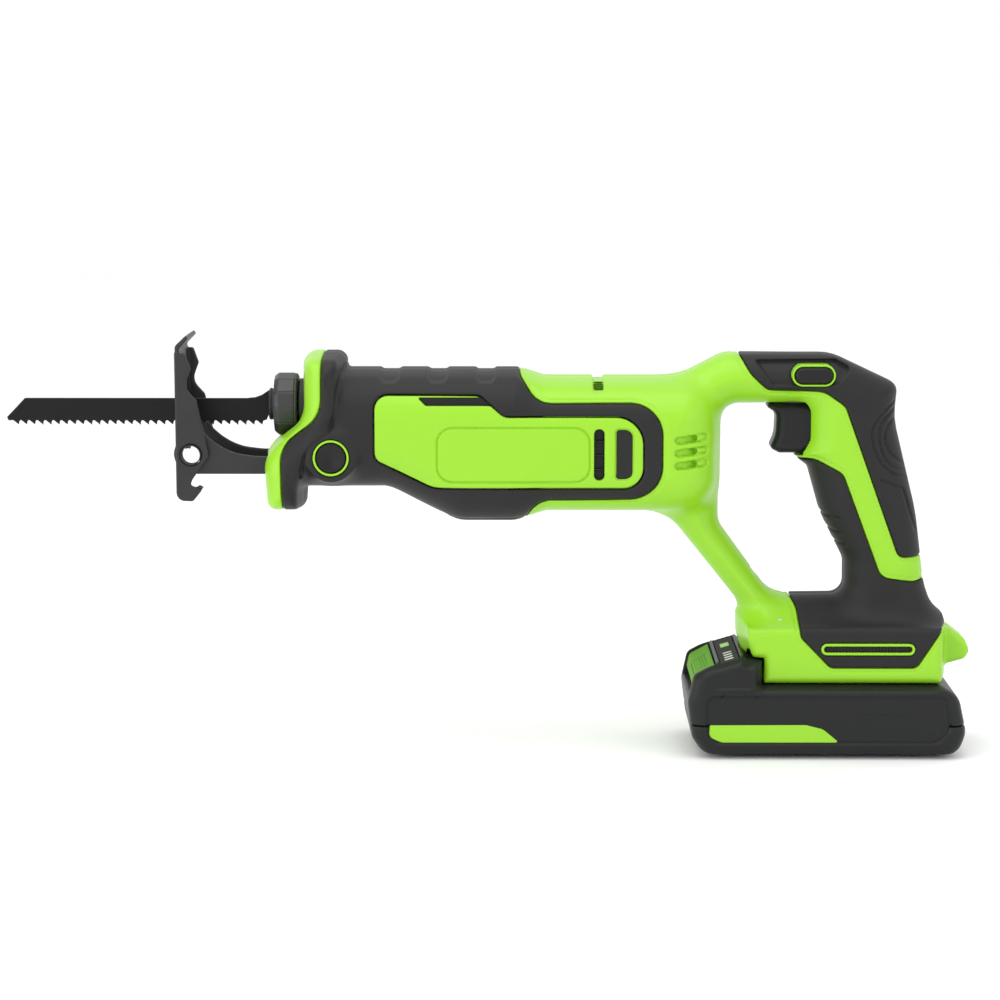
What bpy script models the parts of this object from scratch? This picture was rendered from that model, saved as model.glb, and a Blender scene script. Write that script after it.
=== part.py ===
"""Cordless reciprocating saw: barrel with rubber sleeve, D-handle, slide-on battery, pivoting shoe.

All sizes below are millimetres; meshes are written in metres. +X runs from the blade to the rear of the
tool, +Z is up, +Y is the tool's right-hand side. The origin is under the middle of the tool, at the
battery's bottom face.
"""
import math

import bmesh
import bpy
import numpy as np
from mathutils import Vector
from mathutils.geometry import delaunay_2d_cdt

for old in list(bpy.data.objects):
    bpy.data.objects.remove(old)

MM = 0.001

# ---- driving dimensions -----------------------------------------------------------------------------
GAP = 0.3                       # clearance between pieces that touch
SKIN = 2.3                      # rubber overmould thickness
WALL = 2.2                      # housing wall under the overmould
BARREL_HALF = 33.0              # half width of the barrel
NOSE_HALF = 35.0
HANDLE_HALF = 18.5
STRUT_HALF = 15.5
FOOT_HALF = 29.5
BARREL_ROUND = 20.0             # edge rounding of the barrel's cross-section
NOSE_ROUND = 12.0
HANDLE_ROUND = 15.5
STRUT_ROUND = 13.5
FOOT_ROUND = 5.0

PLUNGER_Z = 153.4               # axis of the plunger and of the blade clamp
PLUNGER_R = 6.5
STROKE = 28.0
MOTOR_Z = 135.0                 # axis of the motor
CRANK_X = -20.0                 # axis of the crank gear, vertical
CRANK_PIN_R = STROKE / 2
ROLLER_R = 3.5
GEAR_R = 20.6
GEAR_TEETH = 42
PINION_TEETH = 6
SHOE_PIVOT = (-131.8, 132.4)    # x, z of the shoe's pivot
SHOE_HALF = 19.7                # half width over the shoe's cheeks
PLATE = 2.0                     # shoe plate thickness
RELEASE_BUTTON = (-68.7, 132.8)
LOCK_BUTTON = (144.2, 167.7)
BLADE_TIP_X = -216.2
BLADE_TOP_Z = 156.0
BLADE_GULLET_Z = 146.0
BLADE_TOOTH_Z = 143.8
TOOTH_PITCH = 3.65
BATTERY_HALF = 36.5
FOOT_Z = 31.4                   # lowest face of the foot
BATTERY_TOP_Z = 31.0
BUTTON_HALF = 32.6              # half width of the battery's button and gauge
RAIL_STEM_HALF = 17.5
RAIL_HEAD_HALF = 22.0
RAIL_TOP = 42.6                 # passes under the lip at the front of the foot

# Side outline of the closed housing: x, z and corner radius, clockwise from the nose's top front.
BODY = [(-80.6, 175.6, 4), (-65.0, 175.6, 3), (-63.8, 168.4, 2.5), (13.5, 168.4, 8), (24.5, 164.8, 10),
        (82.0, 164.8, 26), (105.0, 176.8, 14), (153.0, 176.8, 22), (182.6, 162.8, 5), (181.2, 148.0, 30),
        (191.5, 106.0, 60), (195.5, 74.0, 20), (201.8, 55.6, 2), (201.8, FOOT_Z, 2), (122.5, FOOT_Z, 1),
        (122.8, 42.8, 0.6), (117.6, 43.0, 2), (115.2, 51.0, 4), (115.0, 61.5, 6), (83.5, 100.8, 16),
        (73.0, 107.4, 12), (25.5, 107.4, 10), (12.0, 102.9, 12), (-13.0, 102.9, 14), (-44.0, 118.4, 18),
        (-82.6, 118.4, 2.5), (-83.2, 108.6, 2.5), (-97.2, 108.6, 4), (-99.0, 132.0, 14),
        (-80.8, 148.0, 14)]
# Finger opening of the D-handle.
FINGER_HOLE = [(103.0, 154.6, 9), (141.4, 154.6, 5), (141.4, 139.0, 6), (136.6, 130.9, 1), (143.0, 126.2, 5),
               (149.0, 105.0, 30), (159.6, 84.0, 8), (159.6, 68.4, 6), (127.0, 68.0, 14), (103.0, 101.0, 12)]
# Rubber sleeve on the front of the barrel, and the window in it where the housing shows.
SLEEVE = [(-73.0, 190, 0), (-73.0, 151.0, 15), (-91.0, 137.0, 13), (-90.0, 95, 0), (12.0, 95, 0),
          (21.5, 113.4, 12), (77.0, 113.9, 15), (77.0, 156.4, 14), (22.0, 156.2, 11), (14.0, 168.0, 5),
          (14.0, 190, 0)]
PANEL = [(-49.8, 159.8, 6), (-3.6, 159.6, 5), (7.3, 150.4, 6), (68.5, 150.4, 12), (68.5, 119.0, 9),
         (-24.0, 119.0, 12), (-49.8, 131.6, 5)]
FRONT_COVER = [(-130, 190, 0), (-73.0, 190, 0), (-73.0, 151.0, 15), (-91.0, 137.0, 13), (-90.0, 95, 0),
               (-130, 95, 0)]
REAR_GRIP = [(109.8, 195, 0), (110.2, 179.0, 2), (116.5, 168.0, 14), (124.0, 161.2, 5), (149.0, 160.6, 10),
             (158.4, 154.0, 6), (182.8, 86.4, 4), (215, 86.4, 0), (215, 195, 0)]
LOWER_GRIP = [(120, 130.2, 0), (145.5, 130.2, 8), (157.6, 124.0, 6), (175.0, 77.6, 6), (190.0, 75.2, 3),
              (225, 80, 0), (225, 55.4, 0), (201.2, 55.4, 2), (190.2, 38.6, 4), (152.0, 38.6, 4),
              (138.8, 52.2, 4), (137.6, 64.0, 10), (130.6, 74.6, 3), (120, 79, 0)]

# Lug at the back of the foot.
LUG = [(199.0, 53.6, 0), (207.6, 53.4, 3), (214.0, 48.4, 3), (216.2, 43.2, 3), (214.0, 39.6, 3),
       (206.0, 37.4, 2), (199.0, 37.0, 0)]
LUG_HALF = 11.0

# Battery side outline.
BATTERY = [(88.6, 24.0, 6), (91.2, 36.0, 4), (100.5, 41.0, 4), (112.7, 44.6, 1.5), (115.6, 42.2, 1),
           (121.8, 42.2, 1), (121.8, BATTERY_TOP_Z, 0.5), (200.6, BATTERY_TOP_Z, 8), (208.8, 27.0, 12),
           (212.4, 10.0, 10), (208.6, 0.0, 12), (96.0, 0.0, 10), (90.6, 8.0, 6)]

# ---- materials: colour, roughness, metallic ---------------------------------------------------------
FINISHES = {
    "green_plastic": ((0.37, 0.76, 0.05), 0.38, 0.0),
    "dark_rubber": ((0.045, 0.045, 0.047), 0.62, 0.0),
    "dark_plastic": ((0.035, 0.036, 0.038), 0.45, 0.0),
    "shoe_steel": ((0.07, 0.07, 0.07), 0.5, 0.8),
    "blade_steel": ((0.02, 0.02, 0.021), 0.42, 0.85),
    "bright_steel": ((0.55, 0.56, 0.58), 0.28, 1.0),
    "cast_alloy": ((0.38, 0.39, 0.40), 0.5, 0.9),
    "bronze": ((0.50, 0.34, 0.14), 0.38, 1.0),
    "copper": ((0.60, 0.28, 0.12), 0.35, 1.0),
    "circuit_board": ((0.02, 0.14, 0.06), 0.5, 0.0),
    "cell_wrap": ((0.10, 0.22, 0.42), 0.45, 0.0),
    "gauge_film": ((0.30, 0.31, 0.32), 0.3, 0.0),
}


def material(name):
    """The shared Principled material called name."""
    found = bpy.data.materials.get(name)
    if found:
        return found
    colour, roughness, metallic = FINISHES[name]
    made = bpy.data.materials.new(name)
    made.use_nodes = True
    shader = made.node_tree.nodes["Principled BSDF"]
    shader.inputs["Base Color"].default_value = (*colour, 1.0)
    shader.inputs["Roughness"].default_value = roughness
    shader.inputs["Metallic"].default_value = metallic
    made.diffuse_color = (*colour, 1.0)
    return made


# ---- outlines ---------------------------------------------------------------------------------------
def rounded(corners, arc_step=30.0, longest=1e9):
    """Points of a polygon whose corners (x, z, radius) are arcs, with long edges split."""
    count = len(corners)
    points = []
    for i in range(count):
        here = Vector(corners[i][:2])
        to_last = (Vector(corners[i - 1][:2]) - here)
        to_next = (Vector(corners[(i + 1) % count][:2]) - here)
        last_len, next_len = to_last.length, to_next.length
        to_last.normalize()
        to_next.normalize()
        half = to_last.angle(to_next) / 2
        reach = min(corners[i][2] / math.tan(half), 0.49 * last_len, 0.49 * next_len)
        radius = reach * math.tan(half)
        if radius < 0.05:
            points.append((here.x, here.y))
            continue
        centre = here + (to_last + to_next).normalized() * (radius / math.sin(half))
        start = here + to_last * reach - centre
        sweep = (here + to_next * reach - centre).angle_signed(start)
        steps = max(1, round(abs(math.degrees(sweep)) / arc_step))
        for k in range(steps + 1):
            turn = sweep * k / steps
            cos, sin = math.cos(turn), math.sin(turn)
            points.append((centre.x + start.x * cos - start.y * sin,
                           centre.y + start.x * sin + start.y * cos))
    split = []
    for i, (x0, z0) in enumerate(points):
        x1, z1 = points[(i + 1) % len(points)]
        pieces = max(1, math.ceil(math.hypot(x1 - x0, z1 - z0) / longest))
        split += [(x0 + (x1 - x0) * k / pieces, z0 + (z1 - z0) * k / pieces) for k in range(pieces)]
    return split


def area(points):
    """Signed area of a polygon of (x, z, ...) corners."""
    return sum(points[i - 1][0] * points[i][1] - points[i][0] * points[i - 1][1]
               for i in range(len(points))) / 2


def inset(corners, depth):
    """The same rounded polygon moved inwards by depth (outwards when negative)."""
    turn = 1 if area(corners) > 0 else -1
    count = len(corners)
    moved = []
    for i in range(count):
        x, z, radius = corners[i]
        before = (Vector((x, z)) - Vector(corners[i - 1][:2])).normalized()
        after = (Vector(corners[(i + 1) % count][:2]) - Vector((x, z))).normalized()
        normals = [Vector((-edge.y, edge.x)) * turn for edge in (before, after)]
        mitre = (normals[0] + normals[1]) / (1 + normals[0].dot(normals[1]))
        convex = (before.x * after.y - before.y * after.x) * turn > 0
        new_radius = max(0.0, radius - depth if convex else radius + depth) if radius else 0.0
        moved.append((x + mitre.x * depth, z + mitre.y * depth, new_radius))
    return moved


def inside(points, polygon):
    """Which of the points (n, 2) lie inside the polygon."""
    x, z = points[:, 0], points[:, 1]
    result = np.zeros(len(points), bool)
    for i in range(len(polygon)):
        (x0, z0), (x1, z1) = polygon[i - 1], polygon[i]
        if z0 == z1:
            continue
        crosses = (z0 > z) != (z1 > z)
        result ^= crosses & (x < (x1 - x0) * (z - z0) / (z1 - z0) + x0)
    return result


def distance(points, polygons):
    """Distance from each point to the nearest polygon edge."""
    best = np.full(len(points), 1e9)
    for polygon in polygons:
        start = np.array(polygon)
        edge = np.roll(start, -1, axis=0) - start
        for a, e in zip(start, edge):
            t = np.clip(((points - a) @ e) / max(e @ e, 1e-12), 0, 1)
            best = np.minimum(best, np.linalg.norm(points - a - t[:, None] * e, axis=1))
    return best


# ---- the housing's outer form -----------------------------------------------------------------------
def ease(value, low, high):
    t = np.clip((value - low) / (high - low), 0, 1)
    return t * t * (3 - 2 * t)


def mix(a, b, t):
    return a + (b - a) * t


def section(x, z):
    """Half width and edge rounding of the housing at (x, z): barrel, nose, handle, strut and foot."""
    past_barrel = np.hypot(np.maximum(x - 76.0, 0), np.maximum(112.0 - z, 0))
    limb = ease(past_barrel, 0, 34.0)
    arm = ease(x, 112.0, 136.0)
    half = mix(BARREL_HALF, mix(STRUT_HALF, HANDLE_HALF, np.maximum(arm, ease(z, 120, 150))), limb)
    edge = mix(BARREL_ROUND, mix(STRUT_ROUND, HANDLE_ROUND, arm), limb)
    foot = ease(-z, -76.0, -52.0)
    half, edge = mix(half, FOOT_HALF, foot), mix(edge, FOOT_ROUND, foot)
    nose = ease(-x, 50.0, 74.0)
    return mix(half, NOSE_HALF, nose), mix(edge, NOSE_ROUND, nose)


OUTER_LOOPS = [rounded(BODY, 15), rounded(FINGER_HOLE, 15)]


def half_width(points, depth):
    """Height above the middle plane of the housing surface, moved inwards by depth."""
    half, edge = section(points[:, 0], points[:, 1])
    edge = np.maximum(edge, depth + 0.6)
    into = np.clip(distance(points, OUTER_LOOPS), depth, edge)
    return half - edge + np.sqrt(np.maximum((edge - depth) ** 2 - (edge - into) ** 2, 0))


# ---- solids -----------------------------------------------------------------------------------------
def solid(name, points, faces, finish, smooth=40.0):
    """A mesh object from millimetre points, its faces turned outwards."""
    mesh = bpy.data.meshes.new(name)
    form = bmesh.new()
    corners = [form.verts.new(Vector(p) * MM) for p in points]
    for face in faces:
        form.faces.new([corners[i] for i in face])
    bmesh.ops.remove_doubles(form, verts=form.verts, dist=1e-6)
    bmesh.ops.recalc_face_normals(form, faces=form.faces)
    form.to_mesh(mesh)
    form.free()
    thing = bpy.data.objects.new(name, mesh)
    bpy.context.scene.collection.objects.link(thing)
    mesh.materials.append(material(finish))
    if smooth:
        mesh.shade_smooth()
        mesh.set_sharp_from_angle(angle=math.radians(smooth))
    return thing


def prism(name, outline, y0, y1, finish="dark_plastic"):
    """An XZ outline carried from y0 to y1."""
    count = len(outline)
    points = [(x, y, z) for y in (y0, y1) for x, z in outline]
    faces = [list(range(count)), list(range(count, 2 * count))]
    faces += [[i, (i + 1) % count, count + (i + 1) % count, count + i] for i in range(count)]
    return solid(name, points, faces, finish)


def box(name, low, high, finish="dark_plastic"):
    outline = [(low[0], low[2]), (high[0], low[2]), (high[0], high[2]), (low[0], high[2])]
    return prism(name, outline, low[1], high[1], finish)


def turned(name, profile, centre, axis, finish="bright_steel", sides=20, facets=None):
    """A closed profile of (along, radius) turned about an axis through centre."""
    rings, points = [], []
    for along, radius in profile:
        if radius < 1e-6:
            rings.append([len(points)] * sides)
            spots = [(along, 0.0, 0.0)]
        else:
            rings.append([len(points) + k for k in range(sides)])
            spots = []
            for k in range(sides):
                spoke = radius * (facets(k) if facets else 1.0)
                angle = math.tau * (k + 0.5) / sides
                spots.append((along, spoke * math.cos(angle), spoke * math.sin(angle)))
        for a, p, q in spots:
            local = {"X": (a, p, q), "Y": (q, a, p), "Z": (p, q, a)}[axis]
            points.append(tuple(c + v for c, v in zip(centre, local)))
    faces = []
    for i in range(len(rings)):
        one, two = rings[i - 1], rings[i]
        for k in range(sides):
            corners = [one[k], one[(k + 1) % sides], two[(k + 1) % sides], two[k]]
            face = [c for n, c in enumerate(corners) if c != corners[n - 1]]
            if len(face) > 2 and len(set(face)) > 2:
                faces.append(face)
    return solid(name, points, faces, finish)


def rod(name, centre, axis, low, high, radius, finish="bright_steel", sides=20, chamfer=0.0):
    """A plain round bar from low to high along the axis."""
    profile = [(low, 0), (low, radius - chamfer), (low + chamfer, radius), (high - chamfer, radius),
               (high, radius - chamfer), (high, 0)]
    if not chamfer:
        profile = [(low, 0), (low, radius), (high, radius), (high, 0)]
    return turned(name, profile, centre, axis, finish, sides)


def tube(name, centre, axis, low, high, outer, inner, finish="bright_steel", sides=20):
    profile = [(low, inner), (low, outer), (high, outer), (high, inner)]
    return turned(name, profile, centre, axis, finish, sides)


def combine(thing, other, operation):
    """Apply an exact Boolean to thing and use up the other solid."""
    step = thing.modifiers.new("step", "BOOLEAN")
    step.operation, step.object, step.solver = operation, other, "EXACT"
    graph = bpy.context.evaluated_depsgraph_get()
    result = bpy.data.meshes.new_from_object(thing.evaluated_get(graph))
    thing.modifiers.clear()
    finish = thing.data.materials[0]
    thing.data = result
    result.name = thing.name
    result.materials.clear()
    result.materials.append(finish)
    result.polygons.foreach_set("material_index", [0] * len(result.polygons))
    bpy.data.objects.remove(other)
    return thing


def merge_flats(thing, degrees=1.0):
    """Join neighbouring faces that lie in one plane."""
    form = bmesh.new()
    form.from_mesh(thing.data)
    bmesh.ops.dissolve_degenerate(form, edges=form.edges, dist=1e-6)
    bmesh.ops.dissolve_limit(form, angle_limit=math.radians(degrees), verts=form.verts, edges=form.edges)
    form.to_mesh(thing.data)
    form.free()
    return thing


def cut(thing, *cutters):
    for cutter in cutters:
        combine(thing, cutter, "DIFFERENCE")
    return thing


def join(thing, *others):
    for other in others:
        combine(thing, other, "UNION")
    return thing


def keep(thing, other):
    return combine(thing, other, "INTERSECT")


def mirrored(thing, name):
    """The same piece on the other side of the middle plane."""
    mesh = thing.data.copy()
    mesh.name = name
    for vertex in mesh.vertices:
        vertex.co.y = -vertex.co.y
    mesh.flip_normals()
    twin = bpy.data.objects.new(name, mesh)
    bpy.context.scene.collection.objects.link(twin)
    return twin


def grown(thing, depth):
    """Move every face of a solid outwards by about depth (inwards when negative)."""
    form = bmesh.new()
    form.from_mesh(thing.data)
    form.normal_update()
    shifts = [vertex.normal * depth * MM for vertex in form.verts]
    for vertex, shift in zip(form.verts, shifts):
        vertex.co += shift
    form.to_mesh(thing.data)
    form.free()
    return thing


def place_origin(thing, x, y, z):
    """Put the object's origin on its joint's axis without moving the shape."""
    spot = Vector((x, y, z)) * MM
    for vertex in thing.data.vertices:
        vertex.co -= spot
    thing.location = spot
    return thing


OUTER_RINGS = (2.0, 8.0)        # depths from the outline where the form is sampled
UNDER_RINGS = (4.5, 10.5)
ROOM_RINGS = (10.0,)


def shell_points(depth, rings, spacing):
    """Sample points of the housing form moved inwards by depth, and its boundary loops."""
    loops = [rounded(inset(BODY, depth), 36, 26), rounded(inset(FINGER_HOLE, -depth), 36, 26)]
    scattered = []
    for ring in rings:
        for corners in (inset(BODY, ring), inset(FINGER_HOLE, -ring)):
            scattered += rounded(corners, 60, 26)
    for x in np.arange(-94, 210, spacing):
        for z in np.arange(FOOT_Z, 176, spacing):
            if x > 72 or z < 112 or x < -58:
                scattered.append((x, z))
    cloud = np.array(scattered)
    room = inside(cloud, loops[0]) & ~inside(cloud, loops[1])
    deep = distance(cloud, loops) > 1.0
    cloud = cloud[room & deep]
    chosen = []
    for spot in cloud:
        if all(abs(spot[0] - c[0]) + abs(spot[1] - c[1]) > 4.0 for c in chosen):
            chosen.append(spot)
    return loops, chosen


def half_form(name, depth, middle, rings=UNDER_RINGS, spacing=15.0, finish="green_plastic"):
    """Left half of the housing form (y < 0), moved inwards by depth, closed by a flat face at y = -middle."""
    loops, cloud = shell_points(depth, rings, spacing)
    flat = [Vector(p) for loop in loops for p in loop] + [Vector(p) for p in cloud]
    edges, base = [], 0
    for loop in loops:
        edges += [(base + i, base + (i + 1) % len(loop)) for i in range(len(loop))]
        base += len(loop)
    spots, _, triangles, *_ = delaunay_2d_cdt(flat, edges, [], 0, 1e-4)
    spots = np.array([(p.x, p.y) for p in spots])
    centres = np.array([spots[list(t)].mean(axis=0) for t in triangles])
    wanted = inside(centres, loops[0]) & ~inside(centres, loops[1])
    tops = [tuple(t) for t, use in zip(triangles, wanted) if use]
    heights = half_width(spots, depth)
    points = [(x, -h, z) for (x, z), h in zip(spots, heights)]
    floor_spots, _, floor_tris, *_ = delaunay_2d_cdt([Vector(p) for p in spots[:base]], edges, [], 0, 1e-4)
    floor_spots = np.array([(p.x, p.y) for p in floor_spots])
    centres = np.array([floor_spots[list(t)].mean(axis=0) for t in floor_tris])
    wanted = inside(centres, loops[0]) & ~inside(centres, loops[1])
    shift = len(points)
    points += [(x, -middle, z) for x, z in floor_spots]
    faces = tops + [tuple(shift + i for i in t) for t, use in zip(floor_tris, wanted) if use]
    faces += [(a, b, shift + b, shift + a) for a, b in edges]
    return solid(name, points, faces, finish)


def slot_prism(name, x0, x1, z0, z1, y0, y1, tilt=0.0, finish="dark_plastic"):
    """A slot with round ends, long along X, raised by tilt over its length."""
    radius = (z1 - z0) / 2
    corners = [(x0, z0, radius), (x1, z0 + tilt, radius), (x1, z1 + tilt, radius), (x0, z1, radius)]
    return prism(name, rounded(corners, 45), y0, y1, finish)


# ---- housing, sleeve and grips ----------------------------------------------------------------------
FAR = 45.0                      # past every side of the housing


def zone(name, corners, grow):
    return prism(name, rounded(inset(corners, -grow), 36), -FAR, 1.0)


def zone_with_window(grow):
    return cut(zone("zone", SLEEVE, grow), zone("window", PANEL, -grow))


def release_eye(radius):
    return rod("eye", (RELEASE_BUTTON[0], 0, RELEASE_BUTTON[1]), "Y", -FAR, 0, radius, sides=20)


SIDE_VENTS = [(82.6, 91.6, z, z + 3.6) for z in (138.2, 132.6, 127.0)]
VENT_FLOOR = 28.9               # the side vents end here, as blind recesses
PANEL_SLOT = (46.8, 51.4, 122.6, 145.4)
PANEL_INSET = (55.8, 64.6, 122.4, 145.8)


def trigger_opening():
    return box("trigger_opening", (134.0, -10.3, 131.4), (157.0, 10.3, 155.2))


def cut_nose(thing):
    """Hollow the nose for the twist collar, and bore it for the sleeve behind the collar."""
    cut(thing, rod("collar_room", (0, 0, PLUNGER_Z), "X", -110, -83.8, 15.1, sides=24))
    cut(thing, rod("mouth", (0, 0, PLUNGER_Z), "X", -90, -60, 12.5, sides=20))


def build_housing():
    """Left and right housing halves, hollow, with every opening; the overmoulds sit in 2.3 mm recesses."""
    half = half_form("left_housing", 0.0, GAP / 2, OUTER_RINGS)
    for number, recess in enumerate((zone_with_window(0.15), zone("zone", FRONT_COVER, 0.4),
                                     zone("zone", REAR_GRIP, 0.15), zone("zone", LOWER_GRIP, 0.15))):
        if number == 1:
            cut(half, recess)
            continue
        cut(recess, half_form("under", SKIN, -2.0))
        cut(half, recess)
    cut(half, half_form("cavity", SKIN + WALL, -1.0, ROOM_RINGS))
    for x0, x1, z0, z1 in SIDE_VENTS:
        cut(half, slot_prism("vent", x0, x1, z0, z1, -FAR, -VENT_FLOOR, 0.8))
    for x0, x1, z0, z1 in (PANEL_SLOT, PANEL_INSET):
        cut(half, prism("slot", rounded([(x0, z0, 2), (x1, z0, 2), (x1, z1, 2), (x0, z1, 2)], 45), -FAR, -20))
    cut(half, prism("top_slot", [(-31.5, 159.2), (-6.0, 159.2), (0.6, 155.4), (-27.2, 155.4)], -FAR, -20))
    cut(half, trigger_opening())
    x, z = LOCK_BUTTON
    cut(half, slot_prism("ring_seat", x - 9.9, x + 9.9, z - 5.1, z + 5.1, -FAR, -14.8))
    cut(half, slot_prism("button_way", x - 8.8, x + 8.8, z - 4.0, z + 4.0, -FAR, -1.0))
    cut_nose(half)
    cut(half, box("rail_room", (118.0, -RAIL_HEAD_HALF - 0.6, 36.0), (199.0, 1, 45.4)))
    cut(half, box("rail_mouth", (118.0, -RAIL_STEM_HALF - 0.6, FOOT_Z - 2), (199.0, 1, 40.0)))
    join(half, prism("lug", rounded(LUG, 30), -LUG_HALF, -GAP / 2))
    mirrored(merge_flats(half), "right_housing")
    cut(half, release_eye(8.4))


def build_overmoulds():
    """Rubber sleeve and grips, two halves each, bedded on the housing."""
    for name, make in (("sleeve", lambda: zone_with_window(-0.15)),
                       ("rear_grip", lambda: zone("zone", REAR_GRIP, -0.15)),
                       ("lower_grip", lambda: zone("zone", LOWER_GRIP, -0.15))):
        half = keep(half_form("left_" + name, 0.0, GAP / 2, OUTER_RINGS, finish="dark_rubber"), make())
        cut(half, grown(half_form("under", SKIN, -2.0), 1.5 * GAP))
        if name == "rear_grip":
            ring = slot_prism("lock", LOCK_BUTTON[0] - 10, LOCK_BUTTON[0] + 10, LOCK_BUTTON[1] - 5.2,
                              LOCK_BUTTON[1] + 5.2, -FAR, 0)
            cut(half, ring)
        if name == "lower_grip":
            cut(half, slot_prism("vent", 147.4, 189.8, 44.0, 50.0, -FAR, -20))
            cut(half, trigger_opening())
        mirrored(merge_flats(half), "right_" + name)
        if name == "sleeve":
            cut(half, release_eye(8.2))


def build_front_cover():
    """Green cover round the nose, one piece across the middle, open for the plunger and the shoe arm."""
    cover = keep(half_form("front_cover", 0.0, -0.5, OUTER_RINGS), zone("zone", FRONT_COVER, 0.0))
    join(cover, mirrored(cover, "twin"))
    cut_nose(cover)
    cut(cover, box("arm_mouth", (-110, -18.0, 122.9), (-82.0, 18.0, 132.1)))
    cut(cover, box("bar_mouth", (-100, -8.6, 125.4), (-60.0, 8.6, 131.6)))


def build_buttons():
    """Shoe release button, lock-off button, their green rings, and the base vents."""
    x, z = RELEASE_BUTTON
    tube("release_ring", (x, 0, z), "Y", -36.4, -30.5, 7.9, 6.9, "green_plastic", 24)
    rod("shoe_release_button", (x, 0, z), "Y", -36.2, -22.0, 6.5, "dark_plastic", 24, 0.6)
    x, z = LOCK_BUTTON
    for side, name in ((-1, "left_lock_ring"), (1, "right_lock_ring")):
        ring = slot_prism(name, x - 9.6, x + 9.6, z - 4.8, z + 4.8, side * 15.1, side * 18.2, 0,
                          "green_plastic")
        cut(ring, slot_prism("hole", x - 8.7, x + 8.7, z - 3.9, z + 3.9, side * 10, side * 30))
    slot_prism("lock_off_button", x - 8.4, x + 8.4, z - 3.6, z + 3.6, -19.2, 19.2)
    for side, name in ((-1, "left_base_vent"), (1, "right_base_vent")):
        vent = slot_prism(name, 147.8, 189.4, 44.4, 49.6, side * 27.6, side * 29.8, 0, "green_plastic")
        cut(vent, slot_prism("hole", 149.4, 187.8, 45.8, 48.2, side * 20, side * 40))


# ---- drive ------------------------------------------------------------------------------------------
def build_gear_case():
    """Cast gear case in two halves, with bores for the bushings and a seat for the crank axle."""
    half = grown(half_form("left_gear_case", SKIN + WALL, -2.0, ROOM_RINGS, finish="cast_alloy"), -0.6)
    keep(half, box("span", (-71.5, -FAR, 90), (9.0, -GAP / 2, 180)))
    room = grown(half_form("room", SKIN + WALL, -6.0, ROOM_RINGS), -2.4)
    keep(room, box("span", (-46, -FAR, 90), (12, 5, 180)))
    cut(half, room)
    cut(half, rod("bore", (0, 0, PLUNGER_Z), "X", -80, -30, 8.5, sides=20))
    cut(half, box("bar_slot", (-80, -8.6, 125.4), (-30, 1, 131.6)))
    cut(half, rod("axle_seat", (CRANK_X, 0, 0), "Z", 100, 127, 5.2))
    mirrored(merge_flats(half), "right_gear_case")
    cut(half, rod("button_bore", (RELEASE_BUTTON[0], 0, RELEASE_BUTTON[1]), "Y", -FAR, -12, 7.0))


def build_drive():
    """Motor, pinion, crank gear and the yoke that turns the crank into a straight stroke."""
    motor = (0, 0, MOTOR_Z)
    tube("front_bushing", (0, 0, PLUNGER_Z), "X", -71.0, -61.0, 8.2, PLUNGER_R + 0.2, "bronze", 14)
    tube("rear_bushing", (0, 0, PLUNGER_Z), "X", -58.0, -48.0, 8.2, PLUNGER_R + 0.2, "bronze", 14)
    tube("plunger_seal", (0, 0, PLUNGER_Z), "X", -60.7, -58.3, 8.2, PLUNGER_R + 0.2, "dark_rubber", 14)

    plunger = rod("plunger", (0, 0, PLUNGER_Z), "X", -75.7, 2.0, PLUNGER_R, "bright_steel", 20, 0.5)
    yoke_x = CRANK_X + CRANK_PIN_R
    half_x = ROLLER_R + 3.3
    yoke = box("yoke", (yoke_x - half_x - 2.6, -20.0, 138.6), (yoke_x + half_x + 2.6, 20.0, 145.4))
    cut(yoke, box("slot", (yoke_x - half_x, -17.9, 130), (yoke_x + half_x, 17.9, 144.2)))
    join(yoke, box("neck", (yoke_x - 5, -4, 145.0), (yoke_x + 5, 4, 149.0)))
    join(plunger, yoke)

    gear_profile = [(126.0, 0), (126.0, GEAR_R - 3), (128.0, GEAR_R), (131.4, GEAR_R - 1.5), (131.4, 0)]
    tooth = lambda k: 1.0 if k % 2 else 0.93
    gear = turned("crank_gear", gear_profile, (CRANK_X, 0, 0), "Z", "bright_steel", 2 * GEAR_TEETH, tooth)
    join(gear, rod("pin", (CRANK_X + CRANK_PIN_R, 0, 0), "Z", 129, 143.6, 2.2, sides=12))
    place_origin(gear, CRANK_X, 0, 127)
    tube("crank_roller", (CRANK_X + CRANK_PIN_R, 0, 0), "Z", 131.9, 143.4, ROLLER_R, 2.5, "bright_steel", 16)
    axle = rod("crank_axle", (CRANK_X, 0, 0), "Z", 115.6, 125.7, 4.6, "bright_steel", 16, 0.5)
    place_origin(axle, CRANK_X, 0, 119)
    turned("pinion", [(-1.8, 0), (-1.8, 3.0), (6.0, 3.0), (6.0, 0)], motor, "X", "bright_steel",
           2 * PINION_TEETH, lambda k: 1.0 if k % 2 else 0.8)
    rod("motor_shaft", motor, "X", 6.3, 84.0, 2.5, "bright_steel", 12, 0.3)
    tube("front_motor_bearing", motor, "X", 16.0, 21.0, 8.0, 2.8, "bright_steel", 16)
    tube("rear_motor_bearing", motor, "X", 78.0, 83.0, 6.5, 2.8, "bright_steel", 16)
    tube("stator", motor, "X", 28.0, 66.0, 22.4, 13.0, "copper", 20)
    tube("rotor", motor, "X", 26.0, 68.0, 12.4, 2.8, "cast_alloy", 16)
    fan = tube("fan", motor, "X", 70.0, 72.0, 20.0, 2.8, "dark_plastic", 20)
    for k in range(7):
        angle = math.tau * k / 7
        blade = box("vane", (71.5, -0.6, 9), (75.6, 0.6, 19.4))
        for vertex in blade.data.vertices:
            y, z = vertex.co.y, vertex.co.z
            vertex.co.y = y * math.cos(angle) - z * math.sin(angle)
            vertex.co.z = y * math.sin(angle) + z * math.cos(angle) + MOTOR_Z * MM
        join(fan, blade)


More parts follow.
